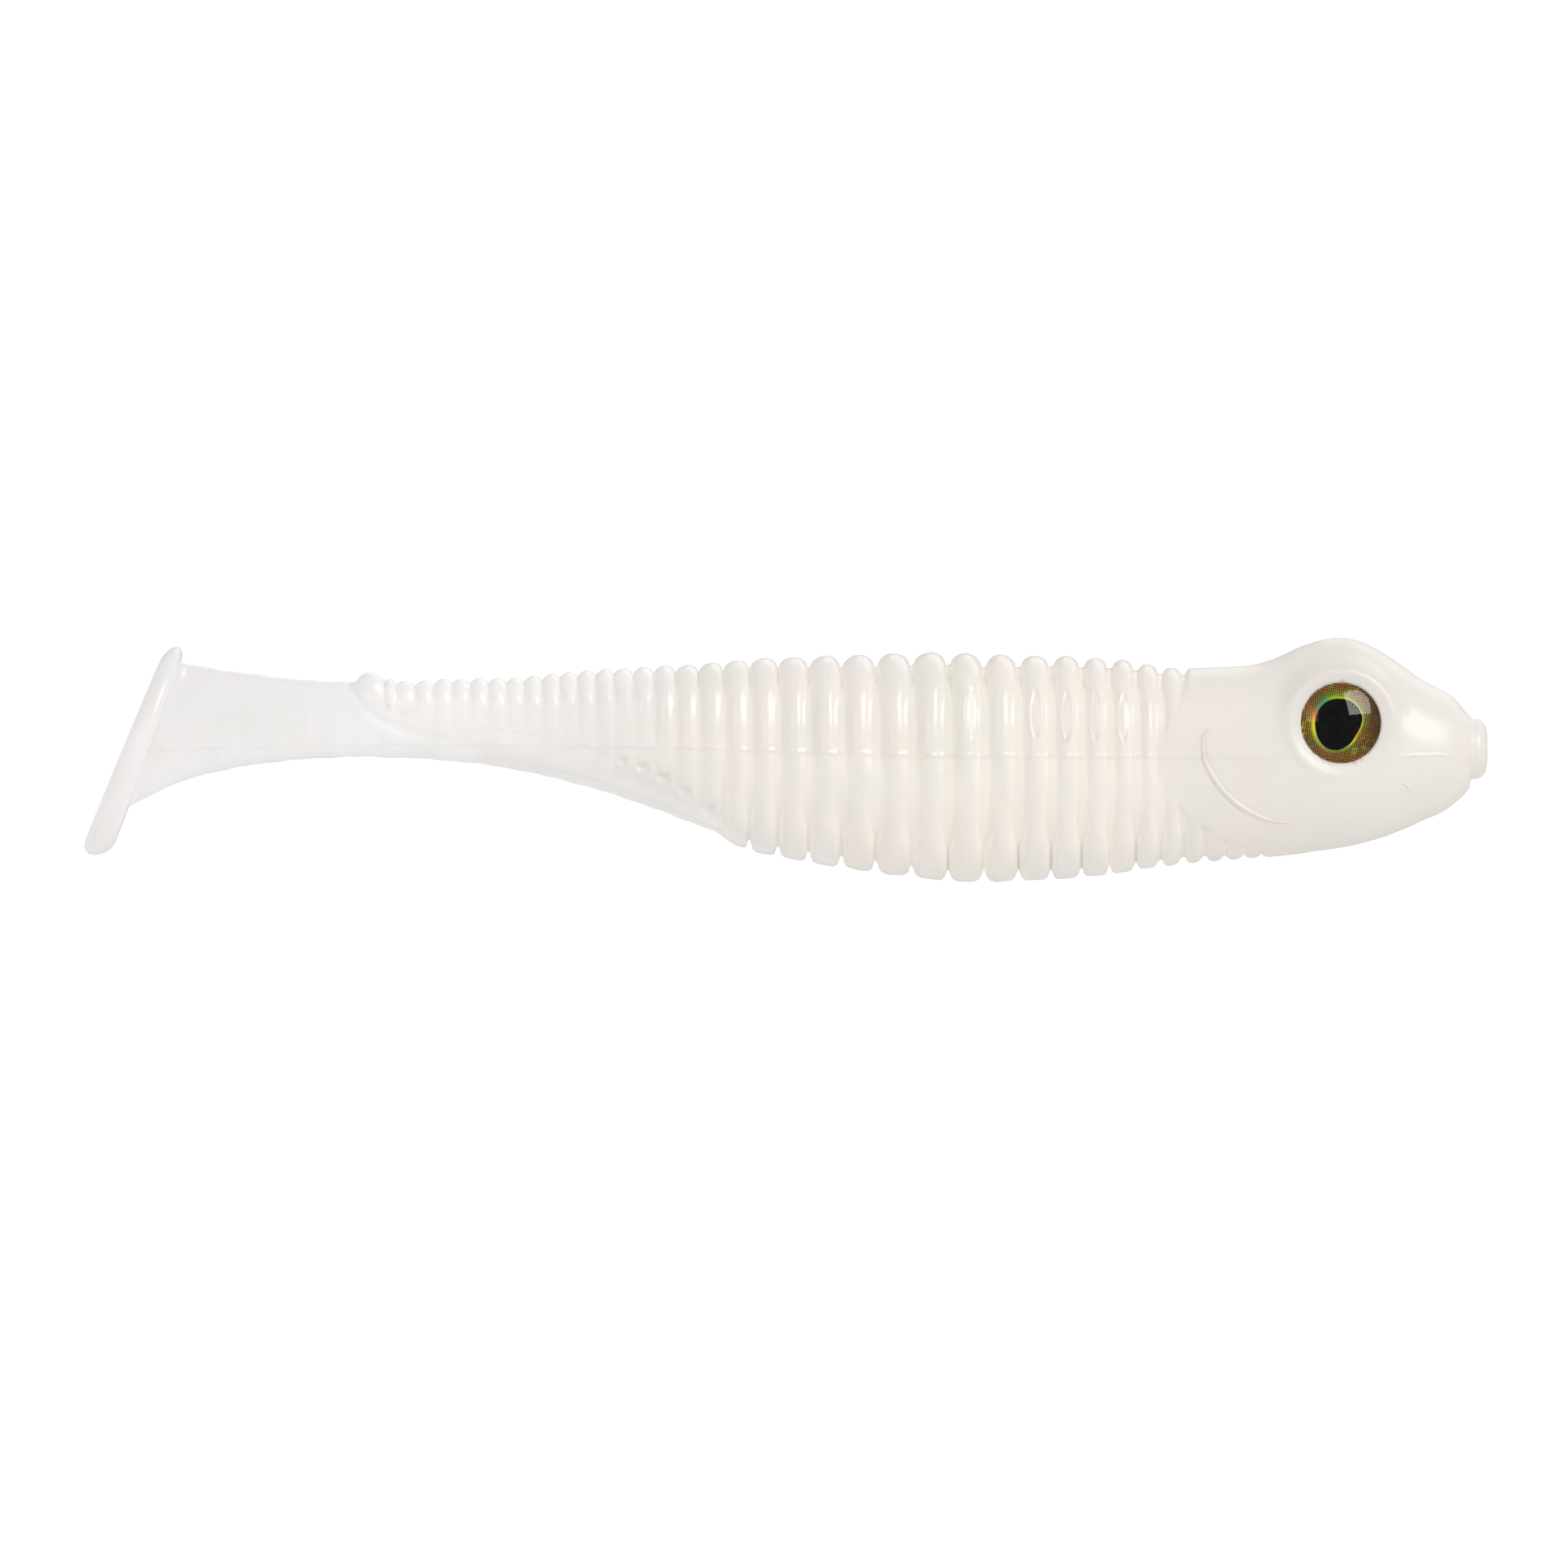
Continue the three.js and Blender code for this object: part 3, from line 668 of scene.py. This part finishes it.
def raised_line(name, path, half, height, side_sign):
    """A low moulded ridge with pointed ends along (back, up) points on the flank."""
    knots = np.array(path, float)
    along = np.linspace(0, len(knots) - 1, 14 * (len(knots) - 1) + 1)
    backs = smooth_curve(list(enumerate(knots[:, 0])))(along)
    ups = smooth_curve(list(enumerate(knots[:, 1])))(along)
    run_back, run_up = np.gradient(backs), np.gradient(ups)
    size = np.hypot(run_back, run_up)
    shares = np.linspace(0, 1, len(along))
    swell = np.maximum(np.sin(math.pi * shares), 0) ** 0.4
    across = [-1, -0.8, -0.6, -0.4, -0.2, 0, 0.2, 0.4, 0.6, 0.8, 1]
    lifts = [0.5 + 0.5 * math.cos(math.pi * a) for a in across]
    section = list(zip(across, lifts)) + [(0.5, -0.6), (-0.5, -0.6)]
    vertices = []
    for back, up, db, du, wide in zip(backs, ups, run_back / size, run_up / size, swell):
        for a, lift in section:
            offset = a * half * wide
            raised = height * wide * lift - 0.012
            vertices.append(on_surface(back + du * offset, up - db * offset, side_sign, raised))
    count = len(section)
    faces = tube_faces(len(along), count)
    last = (len(along) - 1) * count
    faces += [tuple(range(count)), tuple(last + i for i in reversed(range(count)))]
    piece = new_piece(name, vertices, faces)
    shell = open_shell(piece)
    bmesh.ops.remove_doubles(shell, verts=shell.verts, dist=1e-8)
    bmesh.ops.recalc_face_normals(shell, faces=shell.faces)
    close_shell(shell, piece)
    return piece


GILL_LINE = [
    (20.7, 1.45), (21.05, 0.5), (20.96, -0.66), (20.5, -1.74), (19.6, -3.08), (18.66, -4), (17.45, -4.78),
    (16.1, -5.34), (14.7, -5.55),
]
JAW_MARK = [(6.35, -2.6), (6, -2.72), (5.8, -3), (5.9, -3.4)]

head_lines = []
for side_name, sign in (("right", RIGHT), ("left", LEFT)):
    head_lines.append(raised_line(f"{side_name}_gill_line", GILL_LINE, 0.29, 0.14, sign))
    head_lines.append(raised_line(f"{side_name}_jaw_mark", JAW_MARK, 0.16, 0.08, sign))
for piece in head_lines:
    # The raised lines get the grooves' painted light all over.
    keep_plastic_places(piece, groove=1)
    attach(piece, "head")


# ---- Eyes ----

FOIL_LEVEL, PUPIL_LEVEL, DOME_LEVEL = 5.0, 5.04, 4.97  # the resin is cast round the prints
DOME = {"rim": 0.4, "rise": 0.75, "edge": 0.09}


def from_eye(points, side_sign):
    """Points given as (forward, up, out) from the eye's middle, in the row frame, in metres."""
    forward, up, out = np.asarray(points, float).T
    sine, cosine = math.sin(EYE["toe_in"]), math.cos(EYE["toe_in"])
    back = EYE["back"] - (forward * cosine + out * sine)
    side = out * cosine - forward * sine
    return np.stack([-back, side_sign * side, up + EYE["up"]], axis=1) * MM


PUPIL_OUTLINE = [  # (degrees round from straight up towards the nose, distance from the eye's middle)
    (-34, 1.83), (0, 1.72), (23, 1.69), (48, 1.61), (74, 1.56), (98, 1.4), (123, 1.34), (160, 1.62),
    (192, 1.97), (211, 2.05), (233, 1.98), (257, 1.88), (280, 1.85), (306, 1.85), (326, 1.83), (360, 1.72),
    (383, 1.69),
]


def pupil_reach(turn):
    """The pupil's outline: round above, and softly pointed below and behind."""
    reach = smooth_curve(PUPIL_OUTLINE)
    degrees = np.degrees(turn) % 360
    return (reach(degrees - 4) + reach(degrees) + reach(degrees + 4)) / 3


def eye_disc(name, profile, side_sign, outline=None, count=96):
    """A turned or outlined disc: profile lists (radius, out) rings from one middle to the other."""
    turn = np.linspace(0, 2 * math.pi, count, endpoint=False)
    reach = outline(turn) if outline is not None else np.ones(count)
    local = []
    for radius, out in profile:
        local += [(radius * r * math.sin(t), radius * r * math.cos(t), out) for t, r in zip(turn, reach)]
    rings = len(profile)
    local += [(0, 0, profile[0][1]), (0, 0, profile[-1][1])]
    faces = tube_faces(rings, count)
    last = (rings - 1) * count
    faces += [(rings * count, (i + 1) % count, i) for i in range(count)]
    faces += [(rings * count + 1, last + i, last + (i + 1) % count) for i in range(count)]
    piece = new_piece(name, from_eye(local, side_sign), faces)
    shell = open_shell(piece)
    bmesh.ops.recalc_face_normals(shell, faces=shell.faces)
    close_shell(shell, piece)
    local = np.array(local)
    keep_places(piece, local)
    if outline is None:
        angle = np.arctan2(local[:, 0], local[:, 1]) % (2 * math.pi)
        beyond = np.hypot(local[:, 0], local[:, 1]) - pupil_reach(angle)
        keep_number(piece, "beyond_pupil", beyond)
    return piece


def dome_profile():
    radius, rise, edge = EYE["radius"] - 0.01, DOME["rise"], DOME["edge"]
    ball = (radius ** 2 + rise ** 2) / (2 * rise)
    spread = math.asin(radius / ball)
    profile = [(r, DOME_LEVEL) for r in (1, 2, 2.7, radius - edge)]
    profile += [(radius, DOME_LEVEL + edge), (radius, DOME_LEVEL + DOME["rim"] - edge)]
    for share in np.linspace(0.96, 0.04, 16):
        angle = spread * share
        out = DOME_LEVEL + DOME["rim"] + rise - ball * (1 - math.cos(angle))
        profile.append((ball * math.sin(angle), out))
    return profile


eye_pieces = {"foil": [], "pupil": [], "dome": []}
for side_name, sign in (("right", RIGHT), ("left", LEFT)):
    radius = EYE["radius"] - 0.015
    foil = [(r, FOIL_LEVEL) for r in np.linspace(radius / 24, radius, 24)]
    foil += [(r, FOIL_LEVEL - 0.18) for r in (radius, radius / 2)]
    eye_pieces["foil"].append(eye_disc(f"{side_name}_eye_iris_foil", foil, sign))
    pupil = [(r, PUPIL_LEVEL) for r in (0.4, 0.8, 0.93)]
    pupil += [(0.985, PUPIL_LEVEL - 0.02), (1, PUPIL_LEVEL - 0.05), (0.5, PUPIL_LEVEL - 0.055)]
    eye_pieces["pupil"].append(eye_disc(f"{side_name}_eye_pupil_print", pupil, sign, outline=pupil_reach))
    eye_pieces["dome"].append(eye_disc(f"{side_name}_eye_resin_dome", dome_profile(), sign))
    for layer, eye_slot in (("foil", "eye_foil"), ("pupil", "eye_ink"), ("dome", "eye_resin")):
        piece = eye_pieces[layer][-1]
        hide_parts(f"{side_name}_eye_{layer}")
        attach(piece, "head")


# ---- Materials ----

class Shader:
    """The nodes of a new material, or of an owner such as the world, with short ways to join them."""

    def __init__(self, name, owner=None):
        self.material = owner or bpy.data.materials.new(name)
        self.material.use_nodes = True
        self.tree = self.material.node_tree
        self.surface = self.tree.nodes.get("Principled BSDF") or self.tree.nodes["Background"]

    def node(self, kind, **settings):
        made = self.tree.nodes.new(kind)
        for key, value in settings.items():
            setattr(made, key, value)
        return made

    def join(self, source, target):
        self.tree.links.new(source, target)

    def feed(self, target, value):
        if isinstance(value, bpy.types.NodeSocket):
            self.join(value, target)
        else:
            target.default_value = value

    def dress(self, settings):
        """Sets or joins the surface's sockets, given by name."""
        for key, value in settings.items():
            self.feed(self.surface.inputs[key], value)

    def attribute(self, name):
        return self.node("ShaderNodeAttribute", attribute_name=name)

    def math(self, operation, a, b=0.0, c=0.0):
        made = self.node("ShaderNodeMath", operation=operation)
        for target, value in zip(made.inputs, (a, b, c)):
            self.feed(target, value)
        return made.outputs[0]

    def noise(self, place, scale, detail=2.0, roughness=0.5):
        made = self.node("ShaderNodeTexNoise")
        self.join(place, made.inputs["Vector"])
        made.inputs["Scale"].default_value = scale
        made.inputs["Detail"].default_value = detail
        made.inputs["Roughness"].default_value = roughness
        return made.outputs["Fac"]

    def moved(self, place, offset):
        made = self.node("ShaderNodeVectorMath", operation="ADD")
        self.join(place, made.inputs[0])
        made.inputs[1].default_value = offset
        return made.outputs[0]

    def stretched(self, place, factors):
        made = self.node("ShaderNodeVectorMath", operation="MULTIPLY")
        self.join(place, made.inputs[0])
        made.inputs[1].default_value = factors
        return made.outputs[0]

    def specks(self, place, scale, radius, rarity):
        """1 on small round specks: scale is cells per millimetre, and most cells have none."""
        made = self.node("ShaderNodeTexVoronoi")
        self.join(place, made.inputs["Vector"])
        made.inputs["Scale"].default_value = scale
        chance = self.node("ShaderNodeSeparateColor")
        self.join(made.outputs["Color"], chance.inputs[0])
        chosen = self.math("GREATER_THAN", chance.outputs["Red"], rarity)
        return self.math("MULTIPLY", chosen, self.math("LESS_THAN", made.outputs["Distance"], radius))

    def ramp(self, value, stops):
        made = self.node("ShaderNodeValToRGB")
        self.join(value, made.inputs["Fac"])
        elements = made.color_ramp.elements
        while len(elements) < len(stops):
            elements.new(0.5)
        for element, (position, colour) in zip(elements, stops):
            element.position = position
            element.color = (*colour, 1)
        return made.outputs["Color"]

    def mix(self, share, first, second, blend_type="MIX"):
        made = self.node("ShaderNodeMix", data_type="RGBA", blend_type=blend_type)
        self.feed(made.inputs["Factor"], share)
        colours = [s for s in made.inputs if s.type == "RGBA"]
        for target, value in zip(colours, (first, second)):
            self.feed(target, value if isinstance(value, bpy.types.NodeSocket) else (*value, 1))
        return next(s for s in made.outputs if s.type == "RGBA")

    def between(self, share, first, second):
        """A number that goes from first to second as share goes from 0 to 1."""
        made = self.node("ShaderNodeMix")
        for target, value in zip((made.inputs[0], made.inputs[2], made.inputs[3]), (share, first, second)):
            self.feed(target, value)
        return made.outputs[0]

    def map_range(self, value, low, high, to_low=0.0, to_high=1.0):
        made = self.node("ShaderNodeMapRange")
        self.feed(made.inputs["Value"], value)
        for key, number in zip(("From Min", "From Max", "To Min", "To Max"), (low, high, to_low, to_high)):
            made.inputs[key].default_value = number
        return made.outputs["Result"]

    def bump(self, height, strength, distance):
        made = self.node("ShaderNodeBump")
        self.join(height, made.inputs["Height"])
        made.inputs["Strength"].default_value = strength
        made.inputs["Distance"].default_value = distance
        return made.outputs["Normal"]


def srgb(red, green, blue):
    """A colour given as 0..255 sRGB values, as linear light."""
    values = [v / 255 for v in (red, green, blue)]
    return tuple(v / 12.92 if v <= 0.04045 else ((v + 0.055) / 1.055) ** 2.4 for v in values)


def pearl_plastic():
    """Milky soft plastic: creamy where it is thick, grey where it is thin, with a pearl shimmer, painted light
    in its grooves and a painted highlight on its lips.

    The skins are hollow, so light that enters one side glows out of the others, as in the real solid.
    """
    shader = Shader("pearl_soft_plastic")
    rest = shader.attribute("rest").outputs["Vector"]
    axes = shader.node("ShaderNodeSeparateXYZ")
    shader.join(rest, axes.inputs[0])
    thickness = shader.map_range(shader.attribute("thickness").outputs["Fac"], 0, 13)
    tint = shader.ramp(thickness, [
        (0.05, srgb(243, 243, 245)), (0.19, srgb(242, 243, 246)), (0.25, srgb(249, 248, 248)),
        (0.34, srgb(249, 248, 248)), (0.5, srgb(239, 238, 238)), (0.75, srgb(241, 238, 234)),
        (1, srgb(240, 237, 231)),
    ])
    runs = shader.noise(shader.stretched(rest, (2.6, 0.5, 0.22)), 1, 3, 0.6)
    tint = shader.mix(shader.map_range(runs, 0.4, 0.7, 0, 0.35), tint, srgb(251, 249, 244))
    on_head = shader.map_range(axes.outputs["X"], -24.5, -21.5)
    tint = shader.mix(on_head, tint, srgb(238, 235, 232))
    on_plate = shader.map_range(axes.outputs["X"], -96.4, -97.4)
    tint = shader.mix(on_plate, tint, srgb(247, 246, 247))
    # Painted light: the grooves are painted lighter and warmer, more on the body and head than on the tail,
    # standing in for light that glows through the plastic and lifts the shade in them.
    groove = shader.attribute("groove").outputs["Fac"]
    groove_light_share = shader.map_range(axes.outputs["X"], -68, -54, 0.1, 0.75)
    tint = shader.mix(shader.math("MULTIPLY", groove, groove_light_share), tint, srgb(252, 248, 242))
    # Painted highlight: the lips are painted almost white.
    lip = shader.attribute("lip").outputs["Fac"]
    tint = shader.mix(shader.math("MULTIPLY", lip, 0.9), tint, srgb(255, 255, 255))
    pink = shader.noise(rest, 0.2, 3)
    tint = shader.mix(shader.map_range(pink, 0.45, 0.7, 0, 0.4), tint, srgb(245, 236, 231))
    green = shader.noise(shader.moved(rest, (7, 3, 5)), 0.17, 3)
    tint = shader.mix(shader.map_range(green, 0.5, 0.75, 0, 0.4), tint, srgb(231, 235, 227))
    glitter = shader.noise(rest, 11, 2, 0.7)
    tint = shader.mix(shader.map_range(glitter, 0.35, 0.65, 0, 0.28), tint, srgb(253, 249, 244))
    tint = shader.mix(shader.specks(rest, 0.3, 0.013, 0.76), tint, srgb(120, 108, 92))
    tint = shader.mix(shader.specks(rest, 0.55, 0.03, 0.8), tint, srgb(250, 222, 186))
    haze = shader.noise(rest, 0.9, 3)
    fine = shader.noise(rest, 4.5, 4, 0.7)
    shader.dress({
        "Base Color": tint,
        "Roughness": shader.map_range(haze, 0.3, 0.7, 0.32, 0.42),
        "Normal": shader.bump(fine, 0.3, 0.00002),
        "IOR": 1.52,
        "Metallic": 0.035,
        "Specular IOR Level": 0.3,
        "Specular Tint": (1, 0.9, 0.87, 1),
        "Coat Weight": 1,
        "Coat IOR": 1.6,
        "Coat Roughness": shader.map_range(axes.outputs["X"], -26, -20, 0.15, 0.265),
    })
    glow = shader.node("ShaderNodeBsdfTranslucent")
    shader.join(tint, glow.inputs["Color"])
    both = shader.node("ShaderNodeMixShader")
    both.inputs["Fac"].default_value = 0.5
    shader.join(shader.surface.outputs["BSDF"], both.inputs[1])
    shader.join(glow.outputs["BSDF"], both.inputs[2])
    shader.join(both.outputs["Shader"], shader.tree.nodes["Material Output"].inputs["Surface"])
    return shader.material


HOLOGRAM = [  # (degrees round from straight down towards the rear, colour), as the foil splits white light
    (0, srgb(120, 122, 60)), (25, srgb(128, 126, 70)), (45, srgb(150, 168, 80)), (62, srgb(205, 222, 70)),
    (84, srgb(235, 224, 62)), (102, srgb(250, 170, 42)), (115, srgb(252, 112, 60)), (124, srgb(110, 150, 90)),
    (136, srgb(50, 170, 120)), (155, srgb(90, 190, 60)), (180, srgb(170, 200, 45)), (205, srgb(200, 190, 70)),
    (240, srgb(190, 180, 90)), (262, srgb(130, 180, 80)), (282, srgb(170, 185, 60)),
    (305, srgb(205, 165, 50)), (322, srgb(222, 212, 55)), (342, srgb(170, 215, 80)), (360, srgb(120, 122, 60)),
]


def holographic_foil():
    """Printed foil: brown-olive halftone dots, and a bright ring of split light round the pupil."""
    shader = Shader("holographic_iris_foil")
    rest = shader.attribute("rest").outputs["Vector"]
    beyond = shader.attribute("beyond_pupil").outputs["Fac"]
    axes = shader.node("ShaderNodeSeparateXYZ")
    shader.join(rest, axes.inputs[0])
    forward, up = axes.outputs["X"], axes.outputs["Y"]
    pitch, tilt = 0.21, math.radians(38)
    wave = 2 * math.pi / pitch
    waves = []
    for turn in (tilt, tilt + math.pi / 2):
        rise = shader.math("MULTIPLY", up, math.sin(turn))
        along = shader.math("MULTIPLY_ADD", forward, math.cos(turn), rise)
        waves.append(shader.math("SINE", shader.math("MULTIPLY", along, wave)))
    dots = shader.math("MULTIPLY", *waves)
    wobble = shader.map_range(shader.noise(rest, 1.3, 2), 0.3, 0.7, -0.035, 0.035)
    angle = shader.math("ARCTAN2", shader.math("MULTIPLY", forward, -1), shader.math("MULTIPLY", up, -1))
    whole_turn = shader.math("ADD", shader.math("DIVIDE", angle, 2 * math.pi), shader.math("ADD", wobble, 1))
    stops = [(degrees / 360, tone) for degrees, tone in HOLOGRAM]
    holo = shader.ramp(shader.math("FRACT", whole_turn), stops)
    patches = shader.noise(rest, 0.7, 2)
    ink_light = shader.mix(shader.map_range(patches, 0.38, 0.62), srgb(168, 114, 62), srgb(134, 112, 56))
    ink_dark = shader.mix(shader.map_range(forward, 0.6, 2.4), srgb(64, 40, 22), srgb(34, 26, 22))
    dot = shader.map_range(dots, -0.3, 0.4)
    printed = shader.mix(dot, ink_dark, ink_light)
    sparkle = shader.map_range(shader.noise(rest, 3.1, 1), 0.52, 0.72, 0, 0.7)
    tinged = shader.mix(shader.math("MULTIPLY", sparkle, dot), printed, holo)
    tinged = shader.mix(shader.map_range(forward, 1, 2.6, 0, 0.6), tinged, srgb(52, 38, 30))
    width = shader.map_range(forward, -1.2, 1.2, 0.32, 0.2)
    ring_share = shader.math("SUBTRACT", 1, shader.math("DIVIDE", beyond, width))
    ring = shader.map_range(ring_share, 0, 0.55)
    above = shader.map_range(up, -1.6, 1.2, 0.15, 0.7)
    halo = shader.math("MULTIPLY", shader.math("MULTIPLY", shader.map_range(beyond, 0.7, 0.25), above), dot)
    dotted_ring = shader.math("MULTIPLY", ring, shader.map_range(dots, -1, 0.1, 0.6, 1))
    bright = shader.mix(shader.math("MAXIMUM", dotted_ring, halo), tinged, holo)
    squares = [shader.math("MULTIPLY", forward, forward), shader.math("MULTIPLY", up, up)]
    radius = shader.math("SQRT", shader.math("ADD", *squares))
    rim = shader.mix(shader.map_range(radius, 2.8, 2.93, 0, 0.6), bright, srgb(150, 112, 48))
    roughness = shader.map_range(dot, 0, 1, 0.35, 0.5)
    shader.dress({"Base Color": rim, "Specular IOR Level": 0, "Roughness": roughness})
    return shader.material


def pupil_ink():
    shader = Shader("black_pupil_ink")
    rest = shader.attribute("rest").outputs["Vector"]
    cloud = shader.noise(rest, 2.5, 3)
    ink = shader.ramp(cloud, [(0.3, srgb(10, 10, 11)), (0.7, srgb(20, 19, 20))])
    roughness = shader.map_range(shader.noise(rest, 8, 2), 0.3, 0.7, 0.35, 0.5)
    shader.dress({"Base Color": ink, "Specular IOR Level": 0, "Roughness": roughness})
    return shader.material


def clear_resin():
    """Cast resin that lets the lamps through to the foil below it."""
    shader = Shader("clear_eye_resin")
    rest = shader.attribute("rest").outputs["Vector"]
    shader.dress({
        "Base Color": (0.98, 0.98, 0.98, 1),
        "Transmission Weight": 1,
        "IOR": 1.5,
        "Roughness": shader.map_range(shader.noise(rest, 1.5, 2), 0.3, 0.7, 0.03, 0.05),
    })
    clear = shader.node("ShaderNodeBsdfTransparent")
    path = shader.node("ShaderNodeLightPath")
    either = shader.node("ShaderNodeMixShader")
    shader.join(path.outputs["Is Shadow Ray"], either.inputs["Fac"])
    shader.join(shader.surface.outputs["BSDF"], either.inputs[1])
    shader.join(clear.outputs["BSDF"], either.inputs[2])
    shader.join(either.outputs["Shader"], shader.tree.nodes["Material Output"].inputs["Surface"])
    return shader.material


def adhesive_foam():
    shader = Shader("white_adhesive_foam")
    place = shader.node("ShaderNodeTexCoord").outputs["Object"]
    cells = shader.node("ShaderNodeTexVoronoi")
    shader.join(place, cells.inputs["Vector"])
    cells.inputs["Scale"].default_value = 6000
    shade = shader.ramp(cells.outputs["Distance"], [(0.0, srgb(214, 213, 208)), (0.7, srgb(240, 240, 236))])
    bumps = shader.bump(cells.outputs["Distance"], 0.4, 0.00005)
    shader.dress({"Base Color": shade, "Normal": bumps, "Roughness": 0.85})
    return shader.material


def wear(piece, material):
    piece.data.materials.clear()
    piece.data.materials.append(material)


plastic = pearl_plastic()
for piece in moulding + head_lines:
    wear(piece, plastic)
for layer, material in (("foil", holographic_foil()), ("pupil", pupil_ink()), ("dome", clear_resin())):
    for piece in eye_pieces[layer]:
        wear(piece, material)
foam = adhesive_foam()
for side_name in ("left", "right"):
    pad = frame["nodes"][f"{side_name}_eye_adhesive_pad"]
    pad.material_slots[0].material = foam


# ---- Floor, light and camera ----

LOW_CORNER, HIGH_CORNER = (Vector(corner) for corner in cad_box)
MIDDLE = (LOW_CORNER + HIGH_CORNER) / 2
AMBIENT_LIGHT = 0.8
CAMERA_DISTANCE = 3.0
FRAME_WIDTH = 0.1159
SENSOR_WIDTH = 36


def studio_floor(level):
    """A wide pale floor. It shows to the camera only, so the light on the bait is even all round."""
    radius, corners = 12.0, 64
    turns = np.linspace(0, 2 * math.pi, corners, endpoint=False)
    vertices = [(radius * math.cos(turn), radius * math.sin(turn), level) for turn in turns]
    floor = new_piece("studio_floor", vertices, [tuple(range(corners))])
    shader = Shader("studio_floor_paint")
    place = shader.node("ShaderNodeTexCoord").outputs["Object"]
    tone = shader.ramp(shader.noise(place, 3, 2), [(0.3, (0.9, 0.9, 0.9)), (0.7, (0.915, 0.915, 0.915))])
    shader.dress({
        "Base Color": tone, "Roughness": 0.9, "Specular IOR Level": 0.1, "Emission Color": tone,
        "Emission Strength": 0.5,
    })
    wear(floor, shader.material)
    floor.visible_diffuse = False
    floor.visible_glossy = False
    floor.visible_shadow = False


def softbox(name, azimuth, elevation, distance, width, height, power):
    """An area light aimed at the middle of the bait; azimuth 0 is the camera's side, + is to its right."""
    turn, rise = math.radians(azimuth), math.radians(elevation)
    place = Vector((math.sin(turn) * math.cos(rise), -math.cos(turn) * math.cos(rise), math.sin(rise)))
    light = bpy.data.lights.new(name, "AREA")
    light.shape = "RECTANGLE"
    light.size, light.size_y = width, height
    light.energy = power
    lamp = bpy.data.objects.new(name, light)
    bpy.context.scene.collection.objects.link(lamp)
    lamp.location = MIDDLE + place * distance
    lamp.rotation_euler = (-place).to_track_quat("-Z", "Y").to_euler()


def studio_world(ambient):
    """White to the camera, even light, and for gloss a white sweep behind with a dark room before it."""
    world = bpy.data.worlds.new("studio")
    shader = Shader("studio", world)
    path = shader.node("ShaderNodeLightPath")
    axes = shader.node("ShaderNodeSeparateXYZ")
    shader.join(shader.node("ShaderNodeTexCoord").outputs["Generated"], axes.inputs[0])
    gloss = shader.map_range(axes.outputs["Y"], -0.2, 0.5, 0.1, 0.55)
    even = shader.map_range(axes.outputs["Z"], -1, 1, 1.17 * ambient, 0.83 * ambient)
    light = shader.between(path.outputs["Is Glossy Ray"], even, gloss)
    shader.join(shader.between(path.outputs["Is Camera Ray"], light, 1.05), shader.surface.inputs["Strength"])
    shader.surface.inputs["Color"].default_value = (1, 1, 1, 1)
    bpy.context.scene.world = world


studio_floor(LOW_CORNER.z - 0.03)  # below the tail in every pose
softbox("key_softbox", 43, 26, 0.5, 0.27, 0.27, 1.05)
softbox("side_fill", -26, 12, 0.6, 0.25, 0.2, 0.12)
softbox("rear_softbox", 155, 38, 0.6, 0.55, 0.36, 0.5)
studio_world(AMBIENT_LIGHT)
bpy.context.scene.view_settings.view_transform = "Standard"

lens = bpy.data.cameras.new("camera")
lens.sensor_width = SENSOR_WIDTH
lens.lens = SENSOR_WIDTH * CAMERA_DISTANCE / FRAME_WIDTH
camera = bpy.data.objects.new("camera", lens)
bpy.context.scene.collection.objects.link(camera)
camera.location = (-0.05196, -CAMERA_DISTANCE, -0.00264)
camera.rotation_euler = (math.pi / 2, 0, 0)
bpy.context.scene.camera = camera
